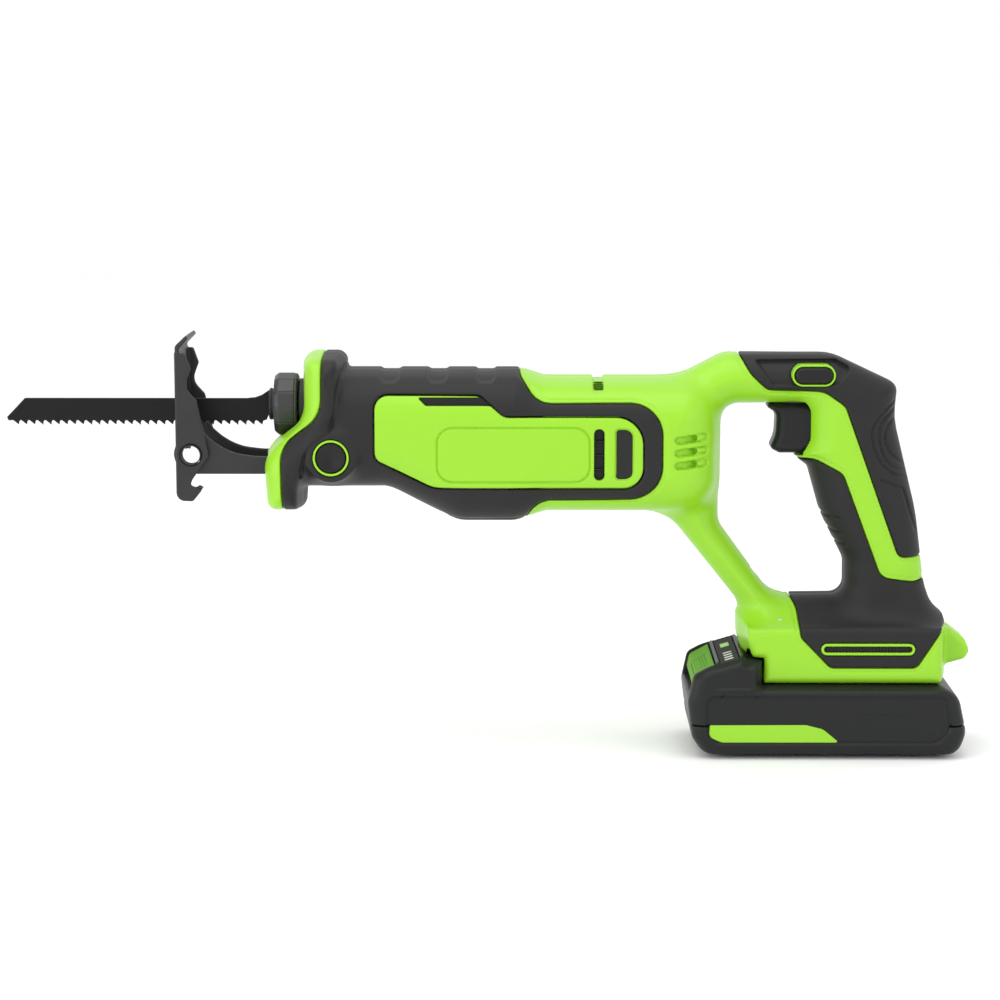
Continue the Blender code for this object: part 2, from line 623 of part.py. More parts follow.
def build_blade_clamp():
    """Blade holder on the plunger's end, the twist collar round it, and the blade."""
    axis = (0, 0, PLUNGER_Z)
    holder = turned("blade_holder", [(-98.2, 0), (-98.2, 6.2), (-97.2, 7.2), (-84.6, 7.2), (-84.6, 11.5),
                                     (-76.0, 11.5), (-76.0, 0)], axis, "X", "shoe_steel", 24)
    cut(holder, box("tang_slot", (-110, -0.95, PLUNGER_Z - 5.6), (-87.0, 0.95, PLUNGER_Z + 5.6)))
    collar = turned("clamp_collar", [(-95.6, 7.5), (-95.6, 10.6), (-93.6, 13.8), (-86.2, 14.1), (-84.9, 13.0),
                                     (-84.9, 7.5)], axis, "X", "dark_plastic", 20)
    for k in range(10):
        angle = math.tau * k / 10
        spot = (0, 14.6 * math.cos(angle), PLUNGER_Z + 14.6 * math.sin(angle))
        cut(collar, rod("flute", spot, "X", -100, -80, 1.2, sides=6))
    place_origin(collar, -90, 0, PLUNGER_Z)

    outline = [(BLADE_TIP_X, 147.4), (BLADE_TIP_X + 0.6, 145.6)]
    x = BLADE_TIP_X + 5.0
    while x < -104.0:
        outline += [(x - 0.9, BLADE_TOOTH_Z), (x + 0.5, BLADE_GULLET_Z)]
        x += TOOTH_PITCH
    outline += [(-100.5, BLADE_GULLET_Z), (-99.0, PLUNGER_Z - 5.0), (-87.6, PLUNGER_Z - 5.0),
                (-87.6, PLUNGER_Z + 5.0), (-99.0, PLUNGER_Z + 5.0)]
    outline += [(-106.0, BLADE_TOP_Z), (-208.0, BLADE_TOP_Z)]
    place_origin(prism("blade", outline, -0.6, 0.6, "blade_steel"), -150, 0, 150)


# ---- shoe -------------------------------------------------------------------------------------------
CHEEK = [(-138.6, 177.4, 0), (-134.0, 177.4, 1), (-131.6, 170.6, 1), (-134.6, 162.5, 6), (-129.0, 156.4, 2),
         (-125.4, 140.4, 2), (-123.7, 132.0, 2), (-131.2, 121.4, 1), (-132.2, 118.8, 1), (-127.0, 117.0, 1),
         (-131.2, 111.8, 1), (-138.2, 112.0, 5)]
SHOE_STRIP = [(-138.6, 180.6, 2), (-133.6, 185.4, 0.5), (-132.6, 183.8, 0.5), (-136.6, 179.6, 1),
              (-136.6, 118.4, 3), (-134.0, 114.4, 1), (-129.0, 117.9, 0.3), (-127.0, 117.0, 0.3),
              (-131.2, 111.8, 1), (-138.2, 112.0, 5)]


def far_notch():
    """Notch from the pivot forward and down, open to the front, in the far side only."""
    x, z = SHOE_PIVOT
    return box("far_notch", (-150, 10, 100), (x + 0.4, 30, z - 1))


def build_shoe():
    """Shoe, its pivot rivet and the sliding arm that carries it."""
    shoe = prism("shoe", rounded(SHOE_STRIP, 45), 0.9 - SHOE_HALF, SHOE_HALF - 0.9, "shoe_steel")
    for side in (-1, 1):
        cheek = rounded(inset(CHEEK, 0.12), 45)
        join(shoe, prism("cheek", cheek, side * (SHOE_HALF - PLATE), side * SHOE_HALF))
    cut(shoe, box("blade_window", (-141, -7.0, 139.0), (-135, 7.0, 172.0)))
    cut(shoe, box("arm_window", (-141, -17.9, 119.6), (-131.0, 17.9, 146.0)))
    cut(shoe, rod("pivot_hole", (SHOE_PIVOT[0], 0, SHOE_PIVOT[1]), "Y", -30, 30, 4.7, sides=20), far_notch())
    cut(shoe, box("hook_end", (-150, -9.0, 100), (-110, 9.0, 119.7)),
        box("far_cheek_end", (-150, 8.0, 100), (-110, 30, 126.0)))
    place_origin(shoe, SHOE_PIVOT[0], 0, SHOE_PIVOT[1])

    inner = SHOE_HALF - PLATE - GAP
    profile = rounded([(-140.2, 132.4, 8), (-136.4, 142.4, 3), (-128.2, 144.6, 1), (-124.6, 139.0, 6),
                       (-112.0, 131.4, 20), (-83.0, 131.4, 0), (-83.0, 123.6, 0), (-131.0, 123.6, 3),
                       (-137.6, 126.0, 4)], 30)
    arm = prism("shoe_arm", profile, -inner, inner, "shoe_steel")
    cut(arm, box("channel", (-150, -inner + 2.4, 125.8), (-70, inner - 2.4, 150)))
    cut(arm, rod("pivot_hole", (SHOE_PIVOT[0], 0, SHOE_PIVOT[1]), "Y", -30, 30, 4.7, sides=20), far_notch())
    cut(arm, box("front_floor", (-150, -inner + 2.4, 120), (-126.5, inner - 2.4, 130)))
    join(arm, box("bar", (-98.0, -8.0, 124.5), (-43.5, 8.0, 131.0)))
    cut(arm, box("under_bar", (-82.4, -9, 120), (-40.0, 9, 126.0)))
    place_origin(arm, -100, 0, 127)
    for side, name in ((-1, "left_shoe_rivet"), (1, "right_shoe_rivet")):
        ends = sorted((side * (SHOE_HALF - PLATE - 3.0), side * (SHOE_HALF + 0.8)))
        tube(name, (SHOE_PIVOT[0], 0, SHOE_PIVOT[1]), "Y", ends[0], ends[1], 4.4, 4.0, "shoe_steel", 16)
    cut(bpy.data.objects["right_shoe_rivet"], far_notch())


# ---- trigger and electronics ------------------------------------------------------------------------
TRIGGER = [(121.8, 154.4, 1.5), (128.6, 150.0, 4), (128.2, 140.0, 14), (125.6, 134.4, 2), (130.0, 132.2, 2),
           (148.0, 132.2, 1), (148.0, 154.4, 1)]


def build_controls():
    """Trigger and the electrical parts inside the handle and foot."""
    place_origin(prism("trigger", rounded(TRIGGER, 24), -9.6, 9.6, "dark_plastic"), 135, 0, 143)
    tube("trigger_spring", (0, 0, 145.0), "X", 148.3, 156.9, 3.0, 2.0, "bright_steel", 12)
    box("switch_module", (157.2, -8.0, 136.0), (171.0, 8.0, 154.0), "dark_plastic")
    box("controller_board", (88.0, -12.0, 122.0), (90.0, 12.0, 146.0), "circuit_board")
    box("terminal_block", (176.0, -16.0, 46.0), (197.0, 16.0, 54.0), "dark_plastic")


# ---- battery ----------------------------------------------------------------------------------------
def build_battery():
    """Slide-on battery: lower and upper case, rails, release button, gauge and six cells."""
    outer = rounded(BATTERY, 24)
    seam = 14.0
    case = prism("whole", outer, -BATTERY_HALF, BATTERY_HALF)
    bevel = case.modifiers.new("edge", "BEVEL")
    bevel.width, bevel.segments = 5.5 * MM, 2
    bevel.limit_method, bevel.angle_limit = "ANGLE", math.radians(60)
    graph = bpy.context.evaluated_depsgraph_get()
    rounded_case = bpy.data.meshes.new_from_object(case.evaluated_get(graph))
    bpy.data.objects.remove(case)
    for name, low, high in (("battery_lower_case", -5, seam - GAP / 2),
                            ("battery_upper_case", seam + GAP / 2, 60)):
        half = bpy.data.objects.new(name, rounded_case.copy())
        bpy.context.scene.collection.objects.link(half)
        keep(half, box("span", (60, -60, low), (230, 60, high)))
        room = box("room", (93.5, -33.5, 2.4), (206.5, 33.5, 29.4))
        cut(half, room)
        if name == "battery_upper_case":
            join(half, box("stem", (124.4, -RAIL_STEM_HALF, 29.0), (197.0, RAIL_STEM_HALF, 42.0),
                           "dark_plastic"))
            join(half, box("head", (124.4, -RAIL_HEAD_HALF, 37.0), (197.0, RAIL_HEAD_HALF, RAIL_TOP),
                           "dark_plastic"))
            room_half = BUTTON_HALF + GAP
            cut(half, box("button_room", (86.0, -room_half, 26.0), (101.4, room_half, 48.0)))
            cut(half, box("gauge_room", (102.8, -room_half, 39.6), (112.0, room_half, 48.0)))
    button = prism("battery_button", rounded([(90.0, 30.0, 2), (91.9, 36.0, 3), (100.9, 40.8, 1),
                                              (100.9, 30.0, 1)], 30), -BUTTON_HALF, BUTTON_HALF, "green_plastic")
    place_origin(button, 95, 0, 34)
    prism("gauge_panel", [(103.1, 39.9), (103.1, 41.5), (111.7, 44.0), (111.7, 39.9)],
          -BUTTON_HALF, BUTTON_HALF, "gauge_film")
    for k in range(6):
        rod(f"cell_{k + 1}", (103.2 + 18.8 * k, 0, 12.6), "Y", -32.4, 32.4, 9.1, "cell_wrap", 12)
    box("cell_board", (100.0, -14.0, 24.0), (190.0, 14.0, 25.6), "circuit_board")


# ---- fasteners --------------------------------------------------------------------------------------
SCREWS = {"barrel_screw": (100.0, 162.0), "strut_screw": (96.0, 90.0), "handle_screw": (164.0, 122.0),
          "foot_screw": (130.0, 58.0)}


def build_screws():
    """Housing screws, driven in from the right into bosses in the left half."""
    left, right = bpy.data.objects["left_housing"], bpy.data.objects["right_housing"]
    for name, (x, z) in SCREWS.items():
        surface = float(half_width(np.array([(x, z)]), 0.0)[0])
        spot = (x, 0, z)
        join(left, rod("boss", spot, "Y", 2.5 - surface, -0.6, 4.0, sides=12))
        join(right, rod("boss", spot, "Y", 0.6, surface - 2.5, 4.6, sides=12))
        cut(left, rod("hole", spot, "Y", 5.0 - surface, 5.0, 1.9, sides=10))
        cut(right, rod("hole", spot, "Y", -5.0, 50.0, 1.9, sides=10),
            rod("seat", spot, "Y", surface - 5.6, 50, 3.6, sides=12))
        head = rod(name, spot, "Y", surface - 5.3, surface - 2.8, 3.2, "bright_steel", 12)
        join(head, rod("shank", spot, "Y", 6.0 - surface, surface - 4.0, 1.6, "bright_steel", 10))
    for half in (left, right):
        merge_flats(half)


build_housing()
build_overmoulds()
build_front_cover()
build_buttons()
build_gear_case()
build_drive()
build_blade_clamp()
build_shoe()
build_controls()
build_battery()
build_screws()
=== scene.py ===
"""Looks of the cordless reciprocating saw: shells, overmoulds, battery, shoe, clamp, blade and finishes.

Sizes are millimetres in the row frame (+X from the blade to the rear, +Z up, y < 0 is the left side) and
meshes are written in metres. Moulded pieces are distance fields sampled on a lattice and then meshed:
a field is negative inside the piece.
"""
import math

import bmesh
import bpy
import numpy as np
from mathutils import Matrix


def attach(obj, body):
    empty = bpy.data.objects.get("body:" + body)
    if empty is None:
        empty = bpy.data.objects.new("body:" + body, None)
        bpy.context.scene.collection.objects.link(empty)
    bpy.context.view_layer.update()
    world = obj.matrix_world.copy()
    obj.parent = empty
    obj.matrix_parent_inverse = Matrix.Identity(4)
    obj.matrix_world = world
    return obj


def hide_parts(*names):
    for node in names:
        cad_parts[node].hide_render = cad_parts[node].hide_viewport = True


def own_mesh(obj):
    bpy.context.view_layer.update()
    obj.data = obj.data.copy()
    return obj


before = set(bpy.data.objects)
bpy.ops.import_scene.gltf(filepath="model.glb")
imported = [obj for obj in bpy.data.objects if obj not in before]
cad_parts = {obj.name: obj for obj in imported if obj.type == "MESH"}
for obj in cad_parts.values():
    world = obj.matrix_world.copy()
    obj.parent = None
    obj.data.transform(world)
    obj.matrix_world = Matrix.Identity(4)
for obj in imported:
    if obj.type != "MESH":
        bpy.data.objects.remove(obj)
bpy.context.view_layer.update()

import openvdb
from mathutils import Vector

MM = 0.001
COARSE = 1.0

# ---- sizes, as in the CAD ---------------------------------------------------------------------------
BARREL_HALF, NOSE_HALF, HANDLE_HALF, STRUT_HALF, FOOT_HALF = 33.0, 35.0, 18.5, 15.5, 29.5
BARREL_ROUND, NOSE_ROUND, HANDLE_ROUND, STRUT_ROUND, FOOT_ROUND = 20.0, 12.0, 15.5, 13.5, 3.5
SKIN = 2.3                      # overmould thickness
GAP = 0.3
PLUNGER_Z = 153.4
FOOT_Z = 31.4
BATTERY_TOP_Z = 31.0
BATTERY_HALF = 36.5
RELEASE_BUTTON = (-68.7, 132.8)
LOCK_BUTTON = (144.2, 167.7)
SHOE_PIVOT = (-131.8, 132.4)
SHOE_HALF = 19.7
PLATE = 2.0

BODY = [(-80.6, 175.6, 4), (-65.0, 175.6, 3), (-63.8, 168.4, 2.5), (13.5, 168.4, 8), (24.5, 164.8, 10),
        (82.0, 164.8, 26), (105.0, 176.8, 14), (153.0, 176.8, 22), (182.6, 162.8, 5), (181.2, 148.0, 30),
        (191.5, 106.0, 60), (195.5, 74.0, 20), (201.8, 55.6, 2), (201.8, FOOT_Z, 2), (122.5, FOOT_Z, 1),
        (122.8, 42.8, 0.6), (117.6, 43.0, 2), (115.2, 51.0, 4), (115.0, 61.5, 6), (83.5, 100.8, 16),
        (73.0, 107.4, 12), (25.5, 107.4, 10), (12.0, 102.9, 12), (-13.0, 102.9, 14), (-44.0, 118.4, 18),
        (-82.6, 118.4, 2.5), (-83.2, 108.6, 2.5), (-97.2, 108.6, 4), (-99.0, 132.0, 14),
        (-80.8, 148.0, 14)]
FINGER_HOLE = [(103.0, 154.6, 9), (141.4, 154.6, 5), (141.4, 139.0, 6), (136.6, 130.9, 1), (143.0, 126.2, 5),
               (149.0, 105.0, 30), (159.6, 84.0, 8), (159.6, 68.4, 6), (127.0, 68.0, 14), (103.0, 101.0, 12)]
SLEEVE = [(-73.0, 190, 0), (-73.0, 151.0, 15), (-91.0, 137.0, 13), (-90.0, 95, 0), (12.0, 95, 0),
          (21.5, 113.4, 12), (77.0, 113.9, 15), (77.0, 156.4, 14), (22.0, 156.2, 11), (14.0, 168.0, 5),
          (14.0, 190, 0)]
PANEL = [(-49.8, 159.8, 6), (-3.6, 159.6, 5), (7.3, 150.4, 6), (68.5, 150.4, 12), (68.5, 119.0, 9),
         (-24.0, 119.0, 12), (-49.8, 131.6, 5)]
REAR_GRIP = [(109.8, 195, 0), (110.2, 179.0, 2), (116.5, 168.0, 14), (124.0, 161.2, 5), (149.0, 160.6, 10),
             (158.4, 154.0, 6), (182.8, 86.4, 4), (215, 86.4, 0), (215, 195, 0)]
LOWER_GRIP = [(120, 130.2, 0), (145.5, 130.2, 8), (157.6, 124.0, 6), (175.0, 77.6, 6), (190.0, 75.2, 3),
              (225, 80, 0), (225, 55.4, 0), (201.2, 55.4, 2), (190.2, 38.6, 4), (152.0, 38.6, 4),
              (138.8, 52.2, 4), (137.6, 64.0, 10), (130.6, 74.6, 3), (120, 79, 0)]
BATTERY = [(88.6, 24.0, 6), (91.2, 36.0, 4), (100.5, 41.0, 4), (112.7, 44.6, 1.5), (115.6, 42.2, 1),
           (121.8, 42.2, 1), (121.8, BATTERY_TOP_Z, 0.5), (200.6, BATTERY_TOP_Z, 8), (208.8, 27.0, 12),
           (212.4, 10.0, 10), (208.6, 0.0, 12), (96.0, 0.0, 10), (90.6, 8.0, 6)]
BATTERY_SIDE = [(97.0, 5.3, 6), (199.0, 5.3, 5), (206.0, 10.8, 8), (203.6, 27.4, 4), (96.0, 27.4, 5)]
CHEEK = [(-138.6, 177.4, 0), (-134.0, 177.4, 1), (-131.6, 170.6, 1), (-134.6, 162.5, 6), (-129.0, 156.4, 2),
         (-125.4, 140.4, 2), (-123.7, 132.0, 2), (-131.2, 121.4, 1), (-132.2, 118.8, 1), (-127.0, 117.0, 1),
         (-131.2, 111.8, 1), (-138.2, 112.0, 5)]
SHOE_STRIP = [(-138.6, 180.6, 2), (-133.6, 185.4, 0.5), (-132.6, 183.8, 0.5), (-136.6, 179.6, 1),
              (-136.6, 118.4, 3), (-134.0, 114.4, 1), (-129.0, 117.9, 0.3), (-127.0, 117.0, 0.3),
              (-131.2, 111.8, 1), (-138.2, 112.0, 5)]
ARM = [(-140.2, 132.4, 8), (-136.4, 142.4, 3), (-128.2, 144.7, 0.5), (-125.0, 140.7, 6), (-121.3, 137.5, 9),
       (-117.2, 134.9, 12), (-111.6, 132.6, 20), (-102.9, 131.5, 20), (-83.0, 131.4, 0), (-83.0, 123.6, 0),
       (-131.0, 123.6, 3), (-137.6, 126.0, 4)]
TRIGGER = [(121.8, 154.4, 1.5), (128.6, 150.0, 4), (128.2, 140.0, 14), (125.6, 134.4, 2), (130.0, 132.2, 2),
           (148.0, 132.2, 1), (148.0, 154.4, 1)]
LUG = [(196.0, 53.6, 0), (207.6, 53.4, 3), (214.0, 48.4, 3), (216.2, 43.2, 3), (214.0, 39.6, 3),
       (206.0, 37.4, 2), (196.0, 37.0, 0)]
TOP_NOTCH = [(46.4, 160.9, 1.2), (51.4, 160.9, 1.2), (51.4, 190, 0), (46.4, 190, 0)]
SIDE_VENTS = (138.4, 132.8, 127.2)


# ---- outlines ---------------------------------------------------------------------------------------
def rounded(corners, arc_step=8.0):
    """Points of a polygon whose corners (x, z, radius) are arcs."""
    points = []
    for i, (x, z, radius) in enumerate(corners):
        here = Vector((x, z))
        to_last = Vector(corners[i - 1][:2]) - here
        to_next = Vector(corners[(i + 1) % len(corners)][:2]) - here
        room = 0.49 * min(to_last.length, to_next.length)
        to_last.normalize()
        to_next.normalize()
        half = to_last.angle(to_next) / 2
        reach = min(radius / math.tan(half), room)
        radius = reach * math.tan(half)
        if radius < 0.05:
            points.append((x, z))
            continue
        centre = here + (to_last + to_next).normalized() * (radius / math.sin(half))
        start = here + to_last * reach - centre
        sweep = (here + to_next * reach - centre).angle_signed(start)
        steps = max(1, round(abs(math.degrees(sweep)) / arc_step))
        for k in range(steps + 1):
            cos, sin = math.cos(sweep * k / steps), math.sin(sweep * k / steps)
            points.append((centre.x + start.x * cos - start.y * sin,
                           centre.y + start.x * sin + start.y * cos))
    return points


def curve(points, steps=8):
    """A smooth open line through the points."""
    ends = [points[0]] + list(points) + [points[-1]]
    line = []
    for a, b, c, d in zip(ends, ends[1:], ends[2:], ends[3:]):
        a, b, c, d = map(np.array, (a, b, c, d))
        for k in range(steps):
            t = k / steps
            line.append(tuple(0.5 * (2 * b + (c - a) * t + (2 * a - 5 * b + 4 * c - d) * t ** 2
                                     + (3 * b - 3 * c + d - a) * t ** 3)))
    return line + [tuple(points[-1])]


# ---- distance fields --------------------------------------------------------------------------------
class Block:
    """Sample points filling a box: x, y and z broadcast against each other."""

    def __init__(self, low, high, step):
        self.step = step * COARSE
        lines = [np.arange(a, b + self.step, self.step, dtype=np.float32) for a, b in zip(low, high)]
        self.low = np.array([line[0] for line in lines])
        self.x = lines[0][:, None, None]
        self.y = lines[1][None, :, None]
        self.z = lines[2][None, None, :]


def to_segment(u, v, start, end):
    """Squared distance from (u, v) to a segment."""
    du, dv = end[0] - start[0], end[1] - start[1]
    t = np.clip(((u - start[0]) * du + (v - start[1]) * dv) / max(du * du + dv * dv, 1e-9), 0, 1)
    return (u - start[0] - t * du) ** 2 + (v - start[1] - t * dv) ** 2


def outline(u, v, corners):
    """Signed distance from (u, v) to a rounded polygon, negative inside."""
    points = rounded(corners)
    best = np.full(np.broadcast(u, v).shape, 1e6, np.float32)
    outside = np.ones(best.shape, bool)
    for start, end in zip(points, points[1:] + points[:1]):
        best = np.minimum(best, to_segment(u, v, start, end))
        if start[1] != end[1]:
            outside ^= ((start[1] > v) != (end[1] > v)) & (
                u < (end[0] - start[0]) * (v - start[1]) / (end[1] - start[1]) + start[0])
    return np.where(outside, np.sqrt(best), -np.sqrt(best)).astype(np.float32)


def line(u, v, points):
    """Distance from (u, v) to an open line."""
    best = np.full(np.broadcast(u, v).shape, 1e6, np.float32)
    for start, end in zip(points, points[1:]):
        best = np.minimum(best, to_segment(u, v, start, end))
    return np.sqrt(best).astype(np.float32)


def both(a, b, radius=0.0):
    """Where two fields overlap, with the edge between them rounded."""
    if not radius:
        return np.maximum(a, b)
    edge = np.hypot(np.maximum(a + radius, 0), np.maximum(b + radius, 0))
    return np.minimum(np.maximum(a, b), -radius) + edge


def either(a, b, radius=0.0):
    """Two fields together, with a fillet between them."""
    return -both(-a, -b, radius)


def without(a, b, radius=0.0):
    return both(a, -b, radius)


def cuboid(block, low, high, radius=0.0):
    """A box with rounded edges."""
    centre = [(a + b) / 2 for a, b in zip(low, high)]
    reach = [(b - a) / 2 - radius for a, b in zip(low, high)]
    q = [np.abs(p - c) - r for p, c, r in zip((block.x, block.y, block.z), centre, reach)]
    deep = np.minimum(np.maximum(np.maximum(q[0], q[1]), q[2]), 0)
    return deep + np.sqrt(sum(np.maximum(axis, 0) ** 2 for axis in q)) - radius


def ease(value, low, high):
    t = np.clip((value - low) / (high - low), 0, 1)
    return t * t * (3 - 2 * t)


def mix(a, b, t):
    return a + (b - a) * t


def dent(away, width, depth):
    """A soft groove of that width and depth round a line at distance away."""
    return depth * (1 - ease(away, 0, width / 2))


# ---- meshes -----------------------------------------------------------------------------------------
def mesh_of(name, block, field):
    """Mesh the zero surface of a field, in metres."""
    band = 3 * block.step
    grid = openvdb.FloatGrid(band)
    grid.gridClass = openvdb.GridClass.LEVEL_SET
    grid.copyFromArray(np.ascontiguousarray(np.clip(field, -band, band), dtype=np.float32))
    points, quads = grid.convertToQuads(0.0)
    mesh = bpy.data.meshes.new(name)
    mesh.from_pydata(((points * block.step + block.low) * MM).tolist(), [], quads[:, ::-1].tolist())
    mesh.shade_smooth()
    thing = bpy.data.objects.new(name, mesh)
    bpy.context.scene.collection.objects.link(thing)
    return thing


def stand_for(thing, body, replaced):
    """Put a piece on a CAD body in place of CAD nodes."""
    if replaced:
        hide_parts(*replaced)
    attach(thing, body)
    return thing


def piece(name, block, field, body, replaced, material):
    """A meshed field riding on a CAD body in place of CAD nodes."""
    thing = mesh_of(name, block, field)
    thing.data.materials.append(material)
    return stand_for(thing, body, replaced)


def mirrored(thing, name, body, replaced):
    """The same piece on the other side of the middle plane."""
    mesh = thing.data.copy()
    mesh.transform(((1, 0, 0, 0), (0, -1, 0, 0), (0, 0, 1, 0), (0, 0, 0, 1)))
    mesh.flip_normals()
    twin = bpy.data.objects.new(name, mesh)
    bpy.context.scene.collection.objects.link(twin)
    return stand_for(twin, body, replaced)


# ---- finishes ---------------------------------------------------------------------------------------
def finish(name, colour, roughness, metallic=0.0, grain=0.0, grain_size=0.5, mottling=0.04, worn=0.0,
           coat=0.0, streaks=0.0, shine_level=0.5):
    """A moulded, coated or machined surface: fine grain, slight mottling and paler worn edges."""
    made = bpy.data.materials.new(name)
    made.use_nodes = True
    made.diffuse_color = (*colour, 1.0)
    nodes, links = made.node_tree.nodes, made.node_tree.links
    shader = nodes["Principled BSDF"]
    shader.inputs["Metallic"].default_value = metallic
    shader.inputs["Specular IOR Level"].default_value = shine_level
    shader.inputs["Coat Weight"].default_value = coat
    shader.inputs["Coat Roughness"].default_value = 0.25
    place = nodes.new("ShaderNodeTexCoord")

    cloud = nodes.new("ShaderNodeTexNoise")
    cloud.inputs["Scale"].default_value = 90.0
    cloud.inputs["Detail"].default_value = 4.0
    links.new(place.outputs["Object"], cloud.inputs["Vector"])

    tone = nodes.new("ShaderNodeMix")
    tone.data_type = "RGBA"
    tone.inputs["A"].default_value = (*[c * (1 - mottling) for c in colour], 1)
    tone.inputs["B"].default_value = (*[min(c * (1 + mottling), 1) for c in colour], 1)
    links.new(cloud.outputs["Fac"], tone.inputs["Factor"])
    colour_out = tone.outputs["Result"]

    if worn:
        bend = nodes.new("ShaderNodeNewGeometry")
        edge = nodes.new("ShaderNodeMapRange")
        edge.inputs["From Min"].default_value = 0.52
        edge.inputs["From Max"].default_value = 0.62
        edge.inputs["To Max"].default_value = worn
        links.new(bend.outputs["Pointiness"], edge.inputs["Value"])
        rub = nodes.new("ShaderNodeMix")
        rub.data_type = "RGBA"
        rub.inputs["B"].default_value = (*[min(c * 1.6 + 0.03, 1) for c in colour], 1)
        links.new(edge.outputs["Result"], rub.inputs["Factor"])
        links.new(colour_out, rub.inputs["A"])
        colour_out = rub.outputs["Result"]
    links.new(colour_out, shader.inputs["Base Color"])

    shine = nodes.new("ShaderNodeMapRange")
    shine.inputs["To Min"].default_value = max(roughness - 0.05, 0.02)
    shine.inputs["To Max"].default_value = min(roughness + 0.05, 1.0)
    links.new(cloud.outputs["Fac"], shine.inputs["Value"])
    links.new(shine.outputs["Result"], shader.inputs["Roughness"])

    if grain or streaks:
        speck = nodes.new("ShaderNodeTexNoise")
        speck.inputs["Scale"].default_value = 1000.0 / grain_size
        speck.inputs["Detail"].default_value = 2.0
        source = place.outputs["Object"]
        if streaks:
            squeeze = nodes.new("ShaderNodeMapping")
            squeeze.inputs["Scale"].default_value = (streaks, 1.0, 1.0)
            links.new(source, squeeze.inputs["Vector"])
            source = squeeze.outputs["Vector"]
        links.new(source, speck.inputs["Vector"])
        bump = nodes.new("ShaderNodeBump")
        bump.inputs["Strength"].default_value = 0.35
        bump.inputs["Distance"].default_value = (grain or 0.02) * MM
        links.new(speck.outputs["Fac"], bump.inputs["Height"])
        links.new(bump.outputs["Normal"], shader.inputs["Normal"])
    return made


GREEN = finish("green_shell", (0.27, 0.585, 0.018), 0.34, grain=0.012, grain_size=0.5, mottling=0.012,
               shine_level=0.4)
GREEN_DEEP = finish("green_button", (0.11, 0.31, 0.008), 0.6, grain=0.01, mottling=0.02, shine_level=0.1)
# Very dark green for the sheet lining the top notch: painted shade standing in for the shadow inside the
# notch.
NOTCH_PAINTED_SHADE = finish("notch_painted_shade", (0.035, 0.10, 0.003), 0.7, grain=0.01, mottling=0.05, shine_level=0.05)
RUBBER = finish("rubber_overmould", (0.0155, 0.0155, 0.016), 0.50, grain=0.05, grain_size=0.35, mottling=0.1,
                worn=0.15, shine_level=0.22)
CASE = finish("battery_plastic", (0.0105, 0.0115, 0.0112), 0.40, grain=0.04, grain_size=0.3, mottling=0.08,
              worn=0.12, shine_level=0.24)
DARK = finish("dark_plastic", (0.0095, 0.0095, 0.0105), 0.36, grain=0.03, grain_size=0.3, mottling=0.1,
              worn=0.12, shine_level=0.24)
BLACKENED = finish("blackened_steel", (0.038, 0.038, 0.039), 0.46, metallic=0.55, grain=0.03, grain_size=0.6,
                   mottling=0.12, worn=0.25, shine_level=0.22)
BLADE = finish("blade_steel", (0.012, 0.012, 0.0125), 0.40, metallic=0.5, grain=0.02, mottling=0.15,
               worn=0.5, streaks=0.06, shine_level=0.2)
STEEL = finish("machined_steel", (0.56, 0.57, 0.59), 0.26, metallic=1.0, grain=0.02, mottling=0.06,
               streaks=0.05)
ALLOY = finish("cast_alloy", (0.40, 0.41, 0.42), 0.5, metallic=0.9, grain=0.12, grain_size=0.8, mottling=0.1)
BRONZE = finish("bronze", (0.50, 0.34, 0.14), 0.36, metallic=1.0, grain=0.03, mottling=0.12)
COPPER = finish("wound_copper", (0.60, 0.27, 0.11), 0.34, metallic=1.0, grain=0.25, grain_size=0.7,
                mottling=0.2)
BOARD = finish("circuit_board", (0.02, 0.14, 0.06), 0.45, grain=0.05, mottling=0.2)
WRAP = finish("cell_wrap", (0.10, 0.22, 0.42), 0.40, grain=0.02, mottling=0.06, coat=0.3)
GAUGE = finish("gauge_film", (0.012, 0.012, 0.013), 0.6, grain=0.01, mottling=0.05, shine_level=0.1)
COLLAR = finish("collar_plastic", (0.021, 0.021, 0.022), 0.34, grain=0.02, mottling=0.08, worn=0.2)
PALE = finish("pale_print", (0.62, 0.62, 0.56), 0.5, mottling=0.03)
CARRIED = {"dark_rubber": RUBBER, "dark_plastic": DARK, "shoe_steel": BLACKENED, "blade_steel": BLADE,
           "bright_steel": STEEL, "cast_alloy": ALLOY, "bronze": BRONZE, "copper": COPPER,
           "circuit_board": BOARD, "cell_wrap": WRAP, "gauge_film": GAUGE, "green_plastic": GREEN}


# ---- the housing's outer form -----------------------------------------------------------------------
BARREL_END = [(-110, 190, 0), (70.0, 190, 0), (70.0, 164.8, 0), (101.4, 164.8, 22), (101.4, 107.2, 22),
              (70.0, 107.2, 0), (60.0, 95, 0), (-110, 95, 0)]
NOSE_BAND = [(-130, 190, 0), (-65.0, 190, 0), (-65.8, 150.6, 14), (-82.0, 138.4, 13), (-83.0, 100, 0),
             (-130, 100, 0)]
SHOULDER_Z = 56.3               # top of the foot's upright sides


def pillow(into, y, half, edge):
    """A slab of that half width whose edges are rounded, into being the depth from its outline."""
    across, up = edge - into, np.abs(y) - (half - edge)
    return np.minimum(np.maximum(across, up), 0) + np.hypot(np.maximum(across, 0), np.maximum(up, 0)) - edge


